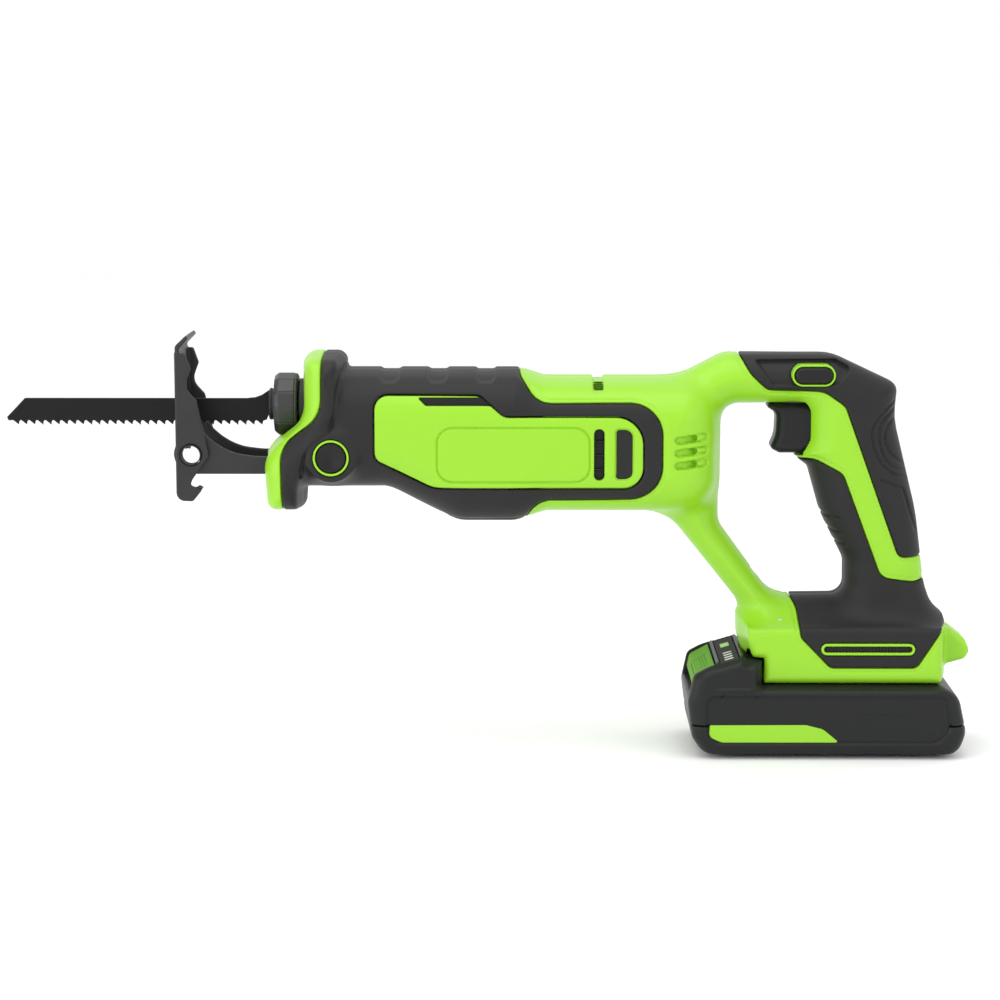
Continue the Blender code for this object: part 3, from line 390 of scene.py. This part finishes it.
def form(block):
    """Barrel with its nose band, handle and strut, and foot, flowing into each other."""
    x, y, z = block.x, block.y, block.z
    into = -np.maximum(outline(x, z, BODY), -outline(x, z, FINGER_HOLE))
    barrel_end = -outline(x, z, BARREL_END)
    barrel = pillow(np.minimum(into, barrel_end), y, BARREL_HALF, BARREL_ROUND)
    arm = ease(x, 112.0, 136.0)
    limb_half = mix(STRUT_HALF, HANDLE_HALF, np.maximum(arm, ease(z, 120, 150)))
    limbs = pillow(into, y, limb_half, mix(STRUT_ROUND, HANDLE_ROUND, arm))
    foot = pillow(np.minimum(into, SHOULDER_Z - z), y, FOOT_HALF, FOOT_ROUND)
    nose = both(pillow(into, y, NOSE_HALF, NOSE_ROUND), outline(x, z, NOSE_BAND), 3.0)
    x0, z0 = RELEASE_BUTTON
    boss = both(np.hypot(x - x0, z - z0) - 11.0, -y - 35.7, 2.0)
    whole = either(barrel, limbs, 5.0)
    whole = either(whole, np.where(x > 70, foot, 50.0), 12.0)
    return either(either(whole, nose, 3.0), boss, 6.0)


def zones(block):
    """Signed distances of the sleeve, its window and the two grips on the side view."""
    x, z = block.x, block.z
    return [outline(x, z, corners) for corners in (SLEEVE, PANEL, REAR_GRIP, LOWER_GRIP)]


def nose_room(block):
    """Room in the nose for the twist collar and the holder behind it."""
    away = np.hypot(block.y, block.z - PLUNGER_Z)
    room = both(away - 15.1, block.x + 83.8)
    return either(room, both(away - 12.5, block.x + 60.0))


def slot(block, x0, x1, z0, z1, rise=0.0):
    """Signed distance to a long slot with round ends on the side view."""
    radius = (z1 - z0) / 2
    middle = (z0 + z1) / 2
    start, end = (x0 + radius, middle), (x1 - radius, middle + rise)
    return np.sqrt(to_segment(block.x, block.z, start, end)) - radius


# ---- overmoulds and shells --------------------------------------------------------------------------
def build_sleeve():
    block = Block((-93, -37.5, 99), (79, 0.6, 178), 0.6)
    x, y, z = block.x, block.y, block.z
    sleeve, window, _, _ = zones(block)
    field = form(block)
    for x0 in (-48.2, -27.0, -5.8):
        recess = outline(x, z, [(x0, 164.4, 3), (x0 + 9.4, 164.4, 3), (x0 + 9.4, 190, 0), (x0, 190, 0)])
        field = field + 1.2 * (1 - ease(recess, -1.4, 0.2))
    bottom = curve([(-50, 118.2), (-44.0, 116.6), (-36.0, 112.8), (-26.0, 107.0), (-14.0, 104.4),
                    (14, 104.4)])
    field = field + dent(line(x, z, bottom), 1.6, 0.5)
    flange = curve([(-63.6, 172.0), (-66.2, 162.0), (-67.2, 152.6), (-68.6, 146.4), (-72.4, 141.8),
                    (-78.4, 137.0), (-80.8, 132.0), (-82.4, 124.0)])
    field = field + dent(line(x, z, flange), 2.0, 0.8)
    zone = without(sleeve, window - GAP, 0.0)
    for side, name in ((-1, "left_sleeve"), (1, "right_sleeve")):
        outer = both(both(field, zone + GAP / 2, 0.9), y + GAP / 2, 0.4)
        skin = without(outer, field + SKIN)
        if side < 0:
            eye = np.hypot(x - RELEASE_BUTTON[0], z - RELEASE_BUTTON[1]) - 8.1
            piece(name, block, without(skin, eye, 0.5), "tool", [name], RUBBER)
        else:
            plain = mesh_of(name, block, skin)
            right = mirrored(plain, name, "tool", [name])
            right.data.materials.append(RUBBER)
            bpy.data.objects.remove(plain)


def build_grips():
    block = Block((108, -22, 85), (206, 0.6, 180), 0.55)
    x, y, z = block.x, block.y, block.z
    rear = zones(block)[2]
    field = form(block)
    facet = outline(x, z, [(117.5, 174.6, 1), (126.4, 163.0, 2), (154.5, 163.0, 3), (162.0, 170.6, 2),
                           (154.3, 174.8, 3)])
    field = field + 1.7 * (1 - ease(facet, -1.3, 0.2))
    grooves = [[(183.5, 157.0), (180.3, 155.7), (173.4, 149.0), (170.5, 143.2), (171.2, 136.0),
                (174.5, 129.0), (180.0, 124.0), (188.5, 121.2)],
               [(182.5, 154.5), (179.7, 152.1), (175.0, 147.0), (173.6, 142.3), (174.2, 136.0),
                (176.4, 130.7), (180.4, 126.8), (188.0, 124.4)],
               [(182.0, 149.5), (178.4, 146.5), (176.3, 142.3), (176.6, 137.4), (178.6, 133.4),
                (183.1, 129.0), (187.0, 127.6)],
               [(174.4, 121.4), (180.0, 119.2), (184.2, 117.4), (186.0, 112.9), (188.4, 105.0),
                (190.9, 98.0)]]
    on_side = ease(-y, 6.0, 12.0)
    for groove in grooves:
        field = field + on_side * dent(line(x, z, curve(groove)), 1.7, 0.9)
    x0, z0 = LOCK_BUTTON
    lock_seat = slot(block, x0 - 9.9, x0 + 9.9, z0 - 5.1, z0 + 5.1)
    outer = both(both(field, rear + GAP / 2, 0.9), y + GAP / 2, 0.4)
    skin = without(without(outer, field + SKIN), lock_seat, 0.4)
    left = piece("left_rear_grip", block, skin, "tool", ["left_rear_grip"], RUBBER)
    mirrored(left, "right_rear_grip", "tool", ["right_rear_grip"])

    block = Block((118, -31, 36), (206, 0.6, 132), 0.6)
    x, y, z = block.x, block.y, block.z
    lower = zones(block)[3]
    field = form(block)
    for near, far in (((145.0, 106.4), (156.4, 103.5)), ((148.6, 100.0), (157.6, 96.8)),
                      ((152.2, 93.4), (159.8, 91.4))):
        field = field + dent(line(x, z, [near, far]), 1.7, 0.9)
    vent_seat = slot(block, 147.5, 189.7, 44.1, 49.9)
    outer = both(both(field, lower + GAP / 2, 0.9), y + GAP / 2, 0.4)
    skin = without(without(outer, field + SKIN), vent_seat, 0.4)
    mouth = cuboid(block, (134.0, -10.3, 131.4), (157.0, 10.3, 155.2))
    left = piece("left_lower_grip", block, without(skin, mouth), "tool", ["left_lower_grip"], RUBBER)
    mirrored(left, "right_lower_grip", "tool", ["right_lower_grip"])


def build_shell():
    """Green housing halves behind the sleeve: barrel end, handle, strut, foot and lug, hollow inside."""
    block = Block((4, -31 - 4, 31), (218, 0.8, 178.5), 0.65)
    x, y, z = block.x, block.y, block.z
    sleeve, _, rear, lower = zones(block)
    field = form(block)
    lug = both(outline(x, z, LUG), np.abs(y) - 11.0, 2.5)
    notch = outline(x, z, TOP_NOTCH)
    field = field + 1.9 * (1 - ease(notch, -0.5, 0.2))
    seam = np.minimum(np.minimum(sleeve, rear), lower)
    field = field + dent(np.abs(seam - 1.5), 1.5, 0.55)
    for z0 in SIDE_VENTS:
        whole = slot(block, 82.4, 96.8, z0 + 0.1, z0 + 3.3, 1.2)
        deep = slot(block, 82.4, 92.2, z0 + 0.1, z0 + 3.3, 0.8)
        field = field + dent(np.abs(whole + 0.2), 1.3, 1.3)
        field = field + mix(2.0, 3.6, ease(x, 83.0, 92.0)) * (1 - ease(deep, -0.6, 0.1))
    outer = both(either(field, lug, 2.0), GAP / 2 - seam, 0.9)
    under = both(field + SKIN + 0.15, -sleeve - 6.0)
    shell = np.minimum(outer, under)
    shell = without(shell, both(form(block) + 4.8, x - 197))
    x0, z0 = LOCK_BUTTON
    shell = without(shell, both(slot(block, x0 - 9.9, x0 + 9.9, z0 - 5.1, z0 + 5.1), y + 14.8))
    shell = without(shell, slot(block, x0 - 8.8, x0 + 8.8, z0 - 4.0, z0 + 4.0))
    shell = without(shell, slot(block, 148.6, 188.6, 45.2, 48.8))
    shell = without(shell, cuboid(block, (134.0, -10.3, 131.4), (157.0, 10.3, 155.2)))
    shell = without(shell, cuboid(block, (116.0, -22.6, 36.0), (199.0, 22.6, 45.4)))
    shell = without(shell, cuboid(block, (116.0, -18.1, 25.0), (199.0, 18.1, 40.0)))
    shell = both(shell, y + GAP / 2, 0.3)
    # A thin very dark sheet on the notch floor, on both sides: painted shade for the shadow inside the notch,
    # not a part of the tool.
    notch_shade_liner = both(both(form(block) + 1.3, -(form(block) + 2.1)), both(notch + 0.4, y + 10.0))
    left = piece("left_notch_painted_shade", block, notch_shade_liner, "tool", [], NOTCH_PAINTED_SHADE)
    mirrored(left, "right_notch_painted_shade", "tool", [])
    left = piece("left_shell", block, shell, "tool", ["left_housing"], GREEN)
    mirrored(left, "right_shell", "tool", ["right_housing"])


def build_panel():
    """The housing where it shows in the sleeve's window, with its pad, slots and inset."""
    block = Block((-51.5, -36, 117.5), (70, -24, 161.5), 0.4)
    x, y, z = block.x, block.y, block.z
    field = form(block)
    zone = outline(x, z, PANEL)
    pad = outline(x, z, [(-22.2, 121.8, 6.8), (45.0, 121.8, 6.8), (45.0, 145.8, 6.8), (-22.2, 145.8, 6.8)])
    field = field + dent(np.abs(pad), 1.4, 1.0)
    inset = outline(x, z, [(55.8, 122.4, 2), (64.6, 122.4, 6), (64.6, 145.8, 6), (55.8, 145.8, 2)])
    field = field + 1.3 * (1 - ease(inset, -0.8, 0.1))
    panel = both(both(field, zone + GAP / 2, 0.7), -(field + 4.0))
    window = outline(x, z, [(46.8, 122.6, 2.2), (51.4, 122.6, 2.2), (51.4, 145.4, 2.2), (46.8, 145.4, 2.2)])
    panel = without(panel, window, 0.3)
    louvre = outline(x, z, [(-31.0, 159.0, 0.5), (-3.6, 159.0, 0.5), (2.2, 155.3, 0.3), (-27.2, 155.3, 0.5)])
    panel = without(panel, louvre, 0.3)
    left = piece("left_panel", block, panel, "tool", ["left_housing"], GREEN)
    mirrored(left, "right_panel", "tool", ["right_housing"])

    badge = both(both(field - 0.25, inset + 0.6, 0.4), -(field + 2.6))
    left = piece("left_inset", block, badge, "tool", [], RUBBER)
    mirrored(left, "right_inset", "tool", [])
    # A dark sheet behind the slot and louvre: painted shade standing in for the dark inside of the housing.
    # The three slot ribs are real, but they get the same dark colour as painted shade.
    slot_shade_backing_and_ribs = both(np.minimum(window, louvre) - 0.4, np.abs(y + 28.6) - 0.5)
    for z0 in (127.4, 133.6, 139.8):
        slot_shade_backing_and_ribs = either(slot_shade_backing_and_ribs, cuboid(block, (46.4, -31.2, z0 - 0.4), (51.8, -28.4, z0 + 0.4), 0.2))
    left = piece("left_slot_shade_backing_and_ribs", block, slot_shade_backing_and_ribs, "tool", [], DARK)
    mirrored(left, "right_slot_shade_backing_and_ribs", "tool", [])


def build_front_cover():
    block = Block((-101, -36.5, 107), (-71.5, 36.5, 177.5), 0.6)
    x, y, z = block.x, block.y, block.z
    sleeve = zones(block)[0]
    front = both(-sleeve, x + 60.0)
    field = form(block)
    lip = both(field + SKIN + 0.3, front - 4.0)
    cover = np.minimum(both(field, front + GAP, 0.9), lip)
    cover = without(cover, nose_room(block), 0.8)
    cover = without(cover, cuboid(block, (-110, -18.0, 122.9), (-82.0, 18.0, 132.1)))
    cover = without(cover, cuboid(block, (-100, -8.6, 125.4), (-60.0, 8.6, 131.6)))
    piece("nose_cover", block, cover, "tool", ["front_cover"], GREEN)


# ---- battery ----------------------------------------------------------------------------------------
def battery_form(block):
    x, y, z = block.x, block.y, block.z
    field = pillow(-outline(x, z, BATTERY), y, BATTERY_HALF, 6.5)
    field = field + 1.1 * (1 - ease(outline(x, z, BATTERY_SIDE), -0.9, 0.2))
    flank = ease(np.abs(y), 28.0, 32.0) * ease(x, 96.0, 103.0)
    field = field + 1.3 * flank * ease(z, 29.2, 31.4)
    relief = curve([(102.6, 22.0), (103.3, 25.6), (106.8, 28.3), (115.2, 28.5), (119.4, 26.0), (121.0, 22.5)])
    field = field + dent(line(x, z, relief), 1.8, 0.6)
    label = outline(x, z, [(162.5, 8.2, 1.5), (198.5, 8.2, 1.5), (198.5, 19.2, 1.5), (162.5, 19.2, 1.5)])
    return field + 0.4 * (1 - ease(label, -0.6, 0.2))


def build_battery():
    """Lower and upper case, rails, release button, charge gauge and the coloured flash."""
    seam, room_half, insert_half = 13.6, 29.7, 29.2
    block = Block((87, -37.5, -1.2), (214, 37.5, 15), 0.62)
    lower = both(battery_form(block), block.z - (seam - GAP / 2), 0.7)
    piece("battery_lower_case", block, lower, "battery", ["battery_lower_case"], CASE)

    block = Block((87, -37.5, 12.5), (214, 37.5, 45), 0.62)
    upper = both(battery_form(block), (seam + GAP / 2) - block.z, 0.7)
    upper = without(upper, cuboid(block, (80, -room_half, 26.0), (101.4, room_half, 60)), 0.4)
    upper = without(upper, cuboid(block, (102.8, -room_half, 39.6), (112.0, room_half, 60)), 0.3)
    rail = either(cuboid(block, (124.4, -17.5, 29.0), (197.0, 17.5, 42.0), 0.6),
                  cuboid(block, (124.4, -22.0, 37.2), (197.0, 22.0, 42.6), 0.8), 0.5)
    for y0 in (-12.0, -6.0, 0.0, 6.0, 12.0):
        rail = without(rail, cuboid(block, (122.0, y0 - 0.9, 38.0), (146.0, y0 + 0.9, 46.0), 0.3))
    piece("battery_upper_case", block, either(upper, rail), "battery", ["battery_upper_case"], CASE)

    block = Block((88, -33.2, 28.5), (101.6, 33.2, 43.6), 0.36)
    button = pillow(-outline(block.x, block.z, BATTERY) - 1.2, block.y, 40.0, 2.2)
    button = both(button, cuboid(block, (88.6, -insert_half, 29.4), (100.9, insert_half, 60), 1.0), 0.5)
    for number in range(6):
        x0 = 92.4 + 1.15 * number
        groove = line(block.x, block.y, [(x0, -20.0), (x0, 8.0)])
        button = button + dent(groove, 0.9, 0.5)
    piece("battery_button", block, button, "battery_button", ["battery_button"], GREEN_DEEP)

    block = Block((102.6, -33.2, 39.2), (112.4, 33.2, 45.0), 0.3)
    deck = -outline(block.x, block.z, BATTERY)
    film = both(1.0 - deck, cuboid(block, (103.1, -insert_half, 39.8), (111.7, insert_half, 60), 0.4), 0.3)
    piece("gauge_panel", block, film, "battery", ["gauge_panel"], GAUGE)
    marks = [(-24.5, 1.1, PALE), (-19.0, 1.1, PALE), (-13.5, 1.1, PALE), (-8.0, 1.1, PALE),
             (12.0, 4.5, GREEN)]
    for number, (y0, half, colour) in enumerate(marks):
        patch = cuboid(block, (105.4, y0 - half, 38), (109.4, y0 + half, 60))
        mark = both(both(0.85 - deck, deck - 1.6), patch)
        piece(f"gauge_mark_{number + 1}", block, mark, "battery", [], colour)

    block = Block((95, -37.2, 4.5), (207, -33.6, 28), 0.5)
    face = battery_form(block)
    side = outline(block.x, block.z, BATTERY_SIDE)
    cover = both(both(face - 0.2, -(face + 0.8)), side + 1.0, 0.2)
    left = piece("left_battery_side", block, cover, "battery", [], CASE)
    mirrored(left, "right_battery_side", "battery", [])

    block = Block((97, -37.2, 5), (157, -34, 15.5), 0.36)
    flash = outline(block.x, block.z, [(98.4, 14.1, 0.6), (140.8, 14.3, 4), (148.4, 12.4, 5),
                                       (155.8, 6.3, 0.6), (103.7, 6.2, 5), (97.9, 8.8, 3)])
    face = battery_form(block)
    strip = both(both(face - 0.45, -(face + 0.5)), flash, 0.25)
    left = piece("left_flash", block, strip, "battery", [], GREEN)
    mirrored(left, "right_flash", "battery", [])


# ---- shoe -------------------------------------------------------------------------------------------
def around_pivot(block, radius):
    return np.hypot(block.x - SHOE_PIVOT[0], block.z - SHOE_PIVOT[1]) - radius


def far_notch(block):
    """Notch from the pivot forward and down, open to the front, in the far side only."""
    x0, z0 = SHOE_PIVOT
    return cuboid(block, (-150, 10, 100), (x0 + 0.4, 30, z0 - 1))


def build_shoe():
    block = Block((-141, -20.6, 110.6), (-122.6, 20.6, 186.4), 0.42)
    x, y, z = block.x, block.y, block.z
    strip = both(outline(x, z, SHOE_STRIP), np.abs(y) - (SHOE_HALF - 0.5), 1.2)
    cheek = both(outline(x, z, CHEEK), np.abs(np.abs(y) - (SHOE_HALF - PLATE / 2)) - PLATE / 2, 0.45)
    shoe = either(strip, cheek, 1.0)
    shoe = without(shoe, cuboid(block, (-145, -7.0, 139.0), (-134, 7.0, 172.0), 1.5), 0.4)
    shoe = without(shoe, cuboid(block, (-145, -17.9, 119.6), (-131.0, 17.9, 146.0), 0.5), 0.3)
    shoe = without(without(shoe, around_pivot(block, 4.7), 0.3), far_notch(block))
    shoe = without(shoe, cuboid(block, (-150, -9.0, 100), (-110, 9.0, 119.7)), 0.3)
    shoe = without(shoe, cuboid(block, (-150, 8.0, 100), (-110, 30, 126.0)), 0.3)
    piece("shoe", block, shoe, "shoe", ["shoe"], BLACKENED)

    inner = SHOE_HALF - PLATE - GAP
    block = Block((-141, -18.2, 122.8), (-42.5, 18.2, 145.6), 0.5)
    x, y, z = block.x, block.y, block.z
    arm = both(outline(x, z, ARM), np.abs(y) - inner, 0.5)
    arm = without(arm, cuboid(block, (-150, -inner + 2.4, 125.8), (-70, inner - 2.4, 150), 1.0), 0.3)
    arm = without(arm, cuboid(block, (-150, -inner + 2.4, 120), (-126.5, inner - 2.4, 130)))
    arm = without(without(arm, around_pivot(block, 4.7), 0.2), far_notch(block))
    arm = either(arm, cuboid(block, (-98.0, -8.0, 124.5), (-43.5, 8.0, 131.0), 0.5), 0.8)
    arm = without(arm, cuboid(block, (-82.4, -9, 118), (-40.0, 9, 126.0)), 0.3)
    pin = both(np.hypot(x + 129.2, z - 125.4) - 1.1, np.abs(y) - inner - 0.25, 0.2)
    piece("shoe_arm", block, either(arm, pin), "shoe_arm", ["shoe_arm"], BLACKENED)

    for side, name in ((-1, "left_shoe_rivet"), (1, "right_shoe_rivet")):
        low, high = sorted((side * (SHOE_HALF - PLATE - 3.0), side * (SHOE_HALF + 0.8)))
        block = Block((-137, low - 0.4, 127), (-126.6, high + 0.4, 137.6), 0.18)
        ring = both(both(around_pivot(block, 4.55), -around_pivot(block, 4.0), 0.1),
                    np.abs(block.y - (low + high) / 2) - (high - low) / 2, 0.25)
        if side > 0:
            ring = without(ring, far_notch(block))
        piece(name, block, ring, "shoe_arm", [name], BLACKENED)


# ---- blade and its clamp ----------------------------------------------------------------------------
def build_blade():
    tip, pitch = -216.2, 3.65
    corners = [(tip, 147.4), (tip + 0.6, 145.8)]
    x = tip + 2.2
    while x < -104.0:
        corners += [(x, 145.9), (x + 0.5, 146.0), (x + 2.9, 144.1), (x + 3.2, 143.8), (x + 3.15, 144.6),
                    (x + 3.3, 145.4)]
        x += pitch
    corners += [(x, 145.9), (-99.5, 146.2), (-98.6, 148.4), (-87.6, 148.4), (-87.6, 158.4), (-97.2, 158.4)]
    corners += [(-97.6, 160.0), (-99.3, 159.0), (-101.5, 157.5), (-104.5, 156.4), (-108.5, 156.0),
                (-208.0, 156.0)]
    block = Block((-217, -1.2, 143), (-86.8, 1.2, 161), 0.3)
    shape = outline(block.x, block.z, [(u, w, 0) for u, w in corners])
    piece("blade", block, both(shape, np.abs(block.y) - 0.6, 0.15), "blade", ["blade"], BLADE)


def build_clamp():
    block = Block((-96.4, -15, 138.4), (-84.2, 15, 168.4), 0.3)
    x, y, z = block.x, block.y, block.z - PLUNGER_Z
    away = np.hypot(y, z)
    turn = np.arctan2(z, -y) + math.radians(3)
    flat = np.mod(turn, math.tau / 12) - math.tau / 24
    faceted = away * np.cos(flat)
    taper = 1.2 * (1 - ease(x, -95.6, -93.4)) + 0.8 * ease(x, -86.0, -84.9)
    collar = both(both(faceted - 13.75 + taper, away - 14.1 + taper), np.abs(x + 90.25) - 5.35, 0.5)
    ridge = (math.tau / 24 - np.abs(flat)) * away
    collar = collar + dent(ridge, 0.9, 0.35) + dent(np.abs(x + 86.2), 0.9, 0.45)
    collar = without(collar, away - 7.6, 0.4)
    piece("clamp_collar", block, collar, "clamp_collar", ["clamp_collar"], COLLAR)

    block = Block((-98.8, -12, 141), (-75.4, 12, 165.8), 0.34)
    x, y, z = block.x, block.y, block.z - PLUNGER_Z
    away = np.hypot(y, z)
    front = both(away - 7.2, np.abs(x + 90.2) - 8.0, 0.9)
    front = front + dent(np.abs(x + 96.6), 0.9, 0.35)
    rear = both(away - 11.5, np.abs(x + 80.3) - 4.3, 0.7)
    holder = without(either(front, rear), cuboid(block, (-110, -0.95, 147.8), (-87.0, 0.95, 159.0)), 0.2)
    holder = without(holder, both(away - 5.4, x + 97.0), 0.3)
    piece("blade_holder", block, holder, "plunger", ["blade_holder"], BLACKENED)


# ---- trigger, buttons and rings ---------------------------------------------------------------------
def build_controls():
    block = Block((120.6, -10.2, 131.4), (148.6, 10.2, 155.2), 0.34)
    trigger = pillow(-outline(block.x, block.z, TRIGGER), block.y, 9.6, 4.2)
    trigger = both(trigger, block.x - 148.0)
    piece("trigger", block, trigger, "trigger", ["trigger"], DARK)

    fixed_end, height, pitch = 156.9, 145.0, 1.36
    block = Block((148.1, -3.3, height - 3.3), (157.1, 3.3, height + 3.3), 0.16)
    turn = np.arctan2(block.z - height, block.y) / math.tau
    along = np.mod((fixed_end - block.x) / pitch - turn + 0.5, 1.0) - 0.5
    wire = np.hypot(np.hypot(block.y, block.z - height) - 2.5, along * pitch) - 0.42
    wire = both(wire, np.abs(block.x - fixed_end + 4.3) - 4.3, 0.1)
    coil = piece("trigger_return_spring", block, wire, "tool", ["trigger_spring"], STEEL)
    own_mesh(coil)

    x0, z0 = RELEASE_BUTTON
    block = Block((x0 - 8.4, -37.2, z0 - 8.4), (x0 + 8.4, -30.0, z0 + 8.4), 0.25)
    away = np.hypot(block.x - x0, block.z - z0)
    ring = both(both(away - 7.9, 6.95 - away), np.abs(block.y + 33.5) - 3.0, 0.3)
    piece("release_ring", block, ring, "tool", ["release_ring"], GREEN)

    block = Block((x0 - 7, -37.2, z0 - 7), (x0 + 7, -21.5, z0 + 7), 0.3)
    away = np.hypot(block.x - x0, block.z - z0)
    dish = 35.9 - 1.1 * (1 - ease(away, 0, 6.4))
    button = both(both(away - 6.5, -block.y - dish, 0.5), block.y + 22.0)
    piece("shoe_release_button", block, button, "shoe_release_button", ["shoe_release_button"], DARK)

    x0, z0 = LOCK_BUTTON
    block = Block((x0 - 10.2, -18.8, z0 - 5.4), (x0 + 10.2, -14.6, z0 + 5.4), 0.25)
    edge = slot(block, x0 - 9.6, x0 + 9.6, z0 - 4.8, z0 + 4.8)
    ring = both(both(edge, -edge - 0.85), np.abs(block.y + 16.65) - 1.55, 0.25)
    left = piece("left_lock_ring", block, ring, "tool", ["left_lock_ring"], GREEN)
    mirrored(left, "right_lock_ring", "tool", ["right_lock_ring"])

    block = Block((x0 - 9, -20, z0 - 4.2), (x0 + 9, 20, z0 + 4.2), 0.36)
    edge = slot(block, x0 - 8.4, x0 + 8.4, z0 - 3.6, z0 + 3.6)
    button = pillow(-edge, block.y, 19.2, 1.6)
    piece("lock_off_button", block, button, "lock_off_button", ["lock_off_button"], DARK)

    block = Block((147.2, -30.4, 43.8), (190, -26.8, 50.2), 0.3)
    edge = slot(block, 147.8, 189.4, 44.4, 49.6)
    hole = slot(block, 149.0, 188.2, 45.6, 48.4)
    vent = both(both(edge, -hole), np.abs(block.y + 28.7) - 1.1, 0.35)
    floor = both(hole - 0.2, np.abs(block.y + 27.9) - 0.3)
    left = piece("left_base_vent", block, vent, "tool", ["left_base_vent"], GREEN)
    mirrored(left, "right_base_vent", "tool", ["right_base_vent"])
    for number in range(13):
        x1 = 151.0 + 2.9 * number
        tooth = cuboid(block, (x1 - 0.55, -28.9, 45.4), (x1 + 0.55, -27.6, 48.6), 0.2)
        floor = either(floor, tooth)
    left = piece("left_base_grille", block, floor, "tool", [], DARK)
    mirrored(left, "right_base_grille", "tool", [])


build_sleeve()
build_grips()
build_shell()
build_panel()
build_front_cover()
build_battery()
build_shoe()
build_blade()
build_clamp()
build_controls()
for name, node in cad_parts.items():
    old = node.material_slots[0].material.name.split(".")[0]
    for each in node.material_slots:
        each.material = CARRIED.get(old, DARK)


# ---- camera, light and floor ------------------------------------------------------------------------
def build_stage():
    floor = bpy.data.meshes.new("floor")
    reach, level = 4, -0.0015
    floor.from_pydata([(-reach, -reach, level), (reach, -reach, level), (reach, reach, level),
                       (-reach, reach, level)], [], [(0, 1, 2, 3)])
    ground = bpy.data.objects.new("floor", floor)
    bpy.context.scene.collection.objects.link(ground)
    pale = bpy.data.materials.new("floor_pale")
    pale.use_nodes = True
    pale.node_tree.nodes["Principled BSDF"].inputs["Base Color"].default_value = (1, 1, 1, 1)
    pale.node_tree.nodes["Principled BSDF"].inputs["Roughness"].default_value = 0.6
    floor.materials.append(pale)

    world = bpy.data.worlds.new("studio")
    world.use_nodes = True
    world.node_tree.nodes["Background"].inputs["Color"].default_value = (1, 1, 1, 1)
    world.node_tree.nodes["Background"].inputs["Strength"].default_value = 1.0
    bpy.context.scene.world = world
    bpy.context.scene.view_settings.view_transform = "Standard"
    lamps = [("top", (-0.1, -0.25, 1.1), 1.0, 5.0), ("front", (-0.7, -1.1, 0.5), 0.8, 2.2),
             ("right", (1.0, -0.8, 0.45), 0.6, 1.5), ("left", (-1.3, -0.45, 0.35), 0.6, 3.0)]
    for name, spot, size, power in lamps:
        lamp = bpy.data.lights.new(name, "AREA")
        lamp.size, lamp.energy = size, power
        light = bpy.data.objects.new(name, lamp)
        bpy.context.scene.collection.objects.link(light)
        light.location = spot
        light.rotation_euler = (Vector((0, 0, 0.11)) - Vector(spot)).to_track_quat("-Z", "Y").to_euler()


def build_camera():
    """Seen from the left, slightly from above."""
    azimuth, elevation, distance = math.radians(0.5), math.radians(7.1), 1.45
    target = Vector((0.0052, 0, 0.110))
    back = Vector((math.sin(azimuth) * math.cos(elevation), -math.cos(azimuth) * math.cos(elevation),
                   math.sin(elevation)))
    lens = bpy.data.cameras.new("camera")
    frame_widths = 3.222        # focal length over the width of the frame
    lens.sensor_width, lens.lens = 36.0, 36.0 * frame_widths
    camera = bpy.data.objects.new("camera", lens)
    bpy.context.scene.collection.objects.link(camera)
    camera.location = target + back * distance
    camera.rotation_euler = back.to_track_quat("Z", "Y").to_euler()
    bpy.context.scene.camera = camera


build_stage()
build_camera()
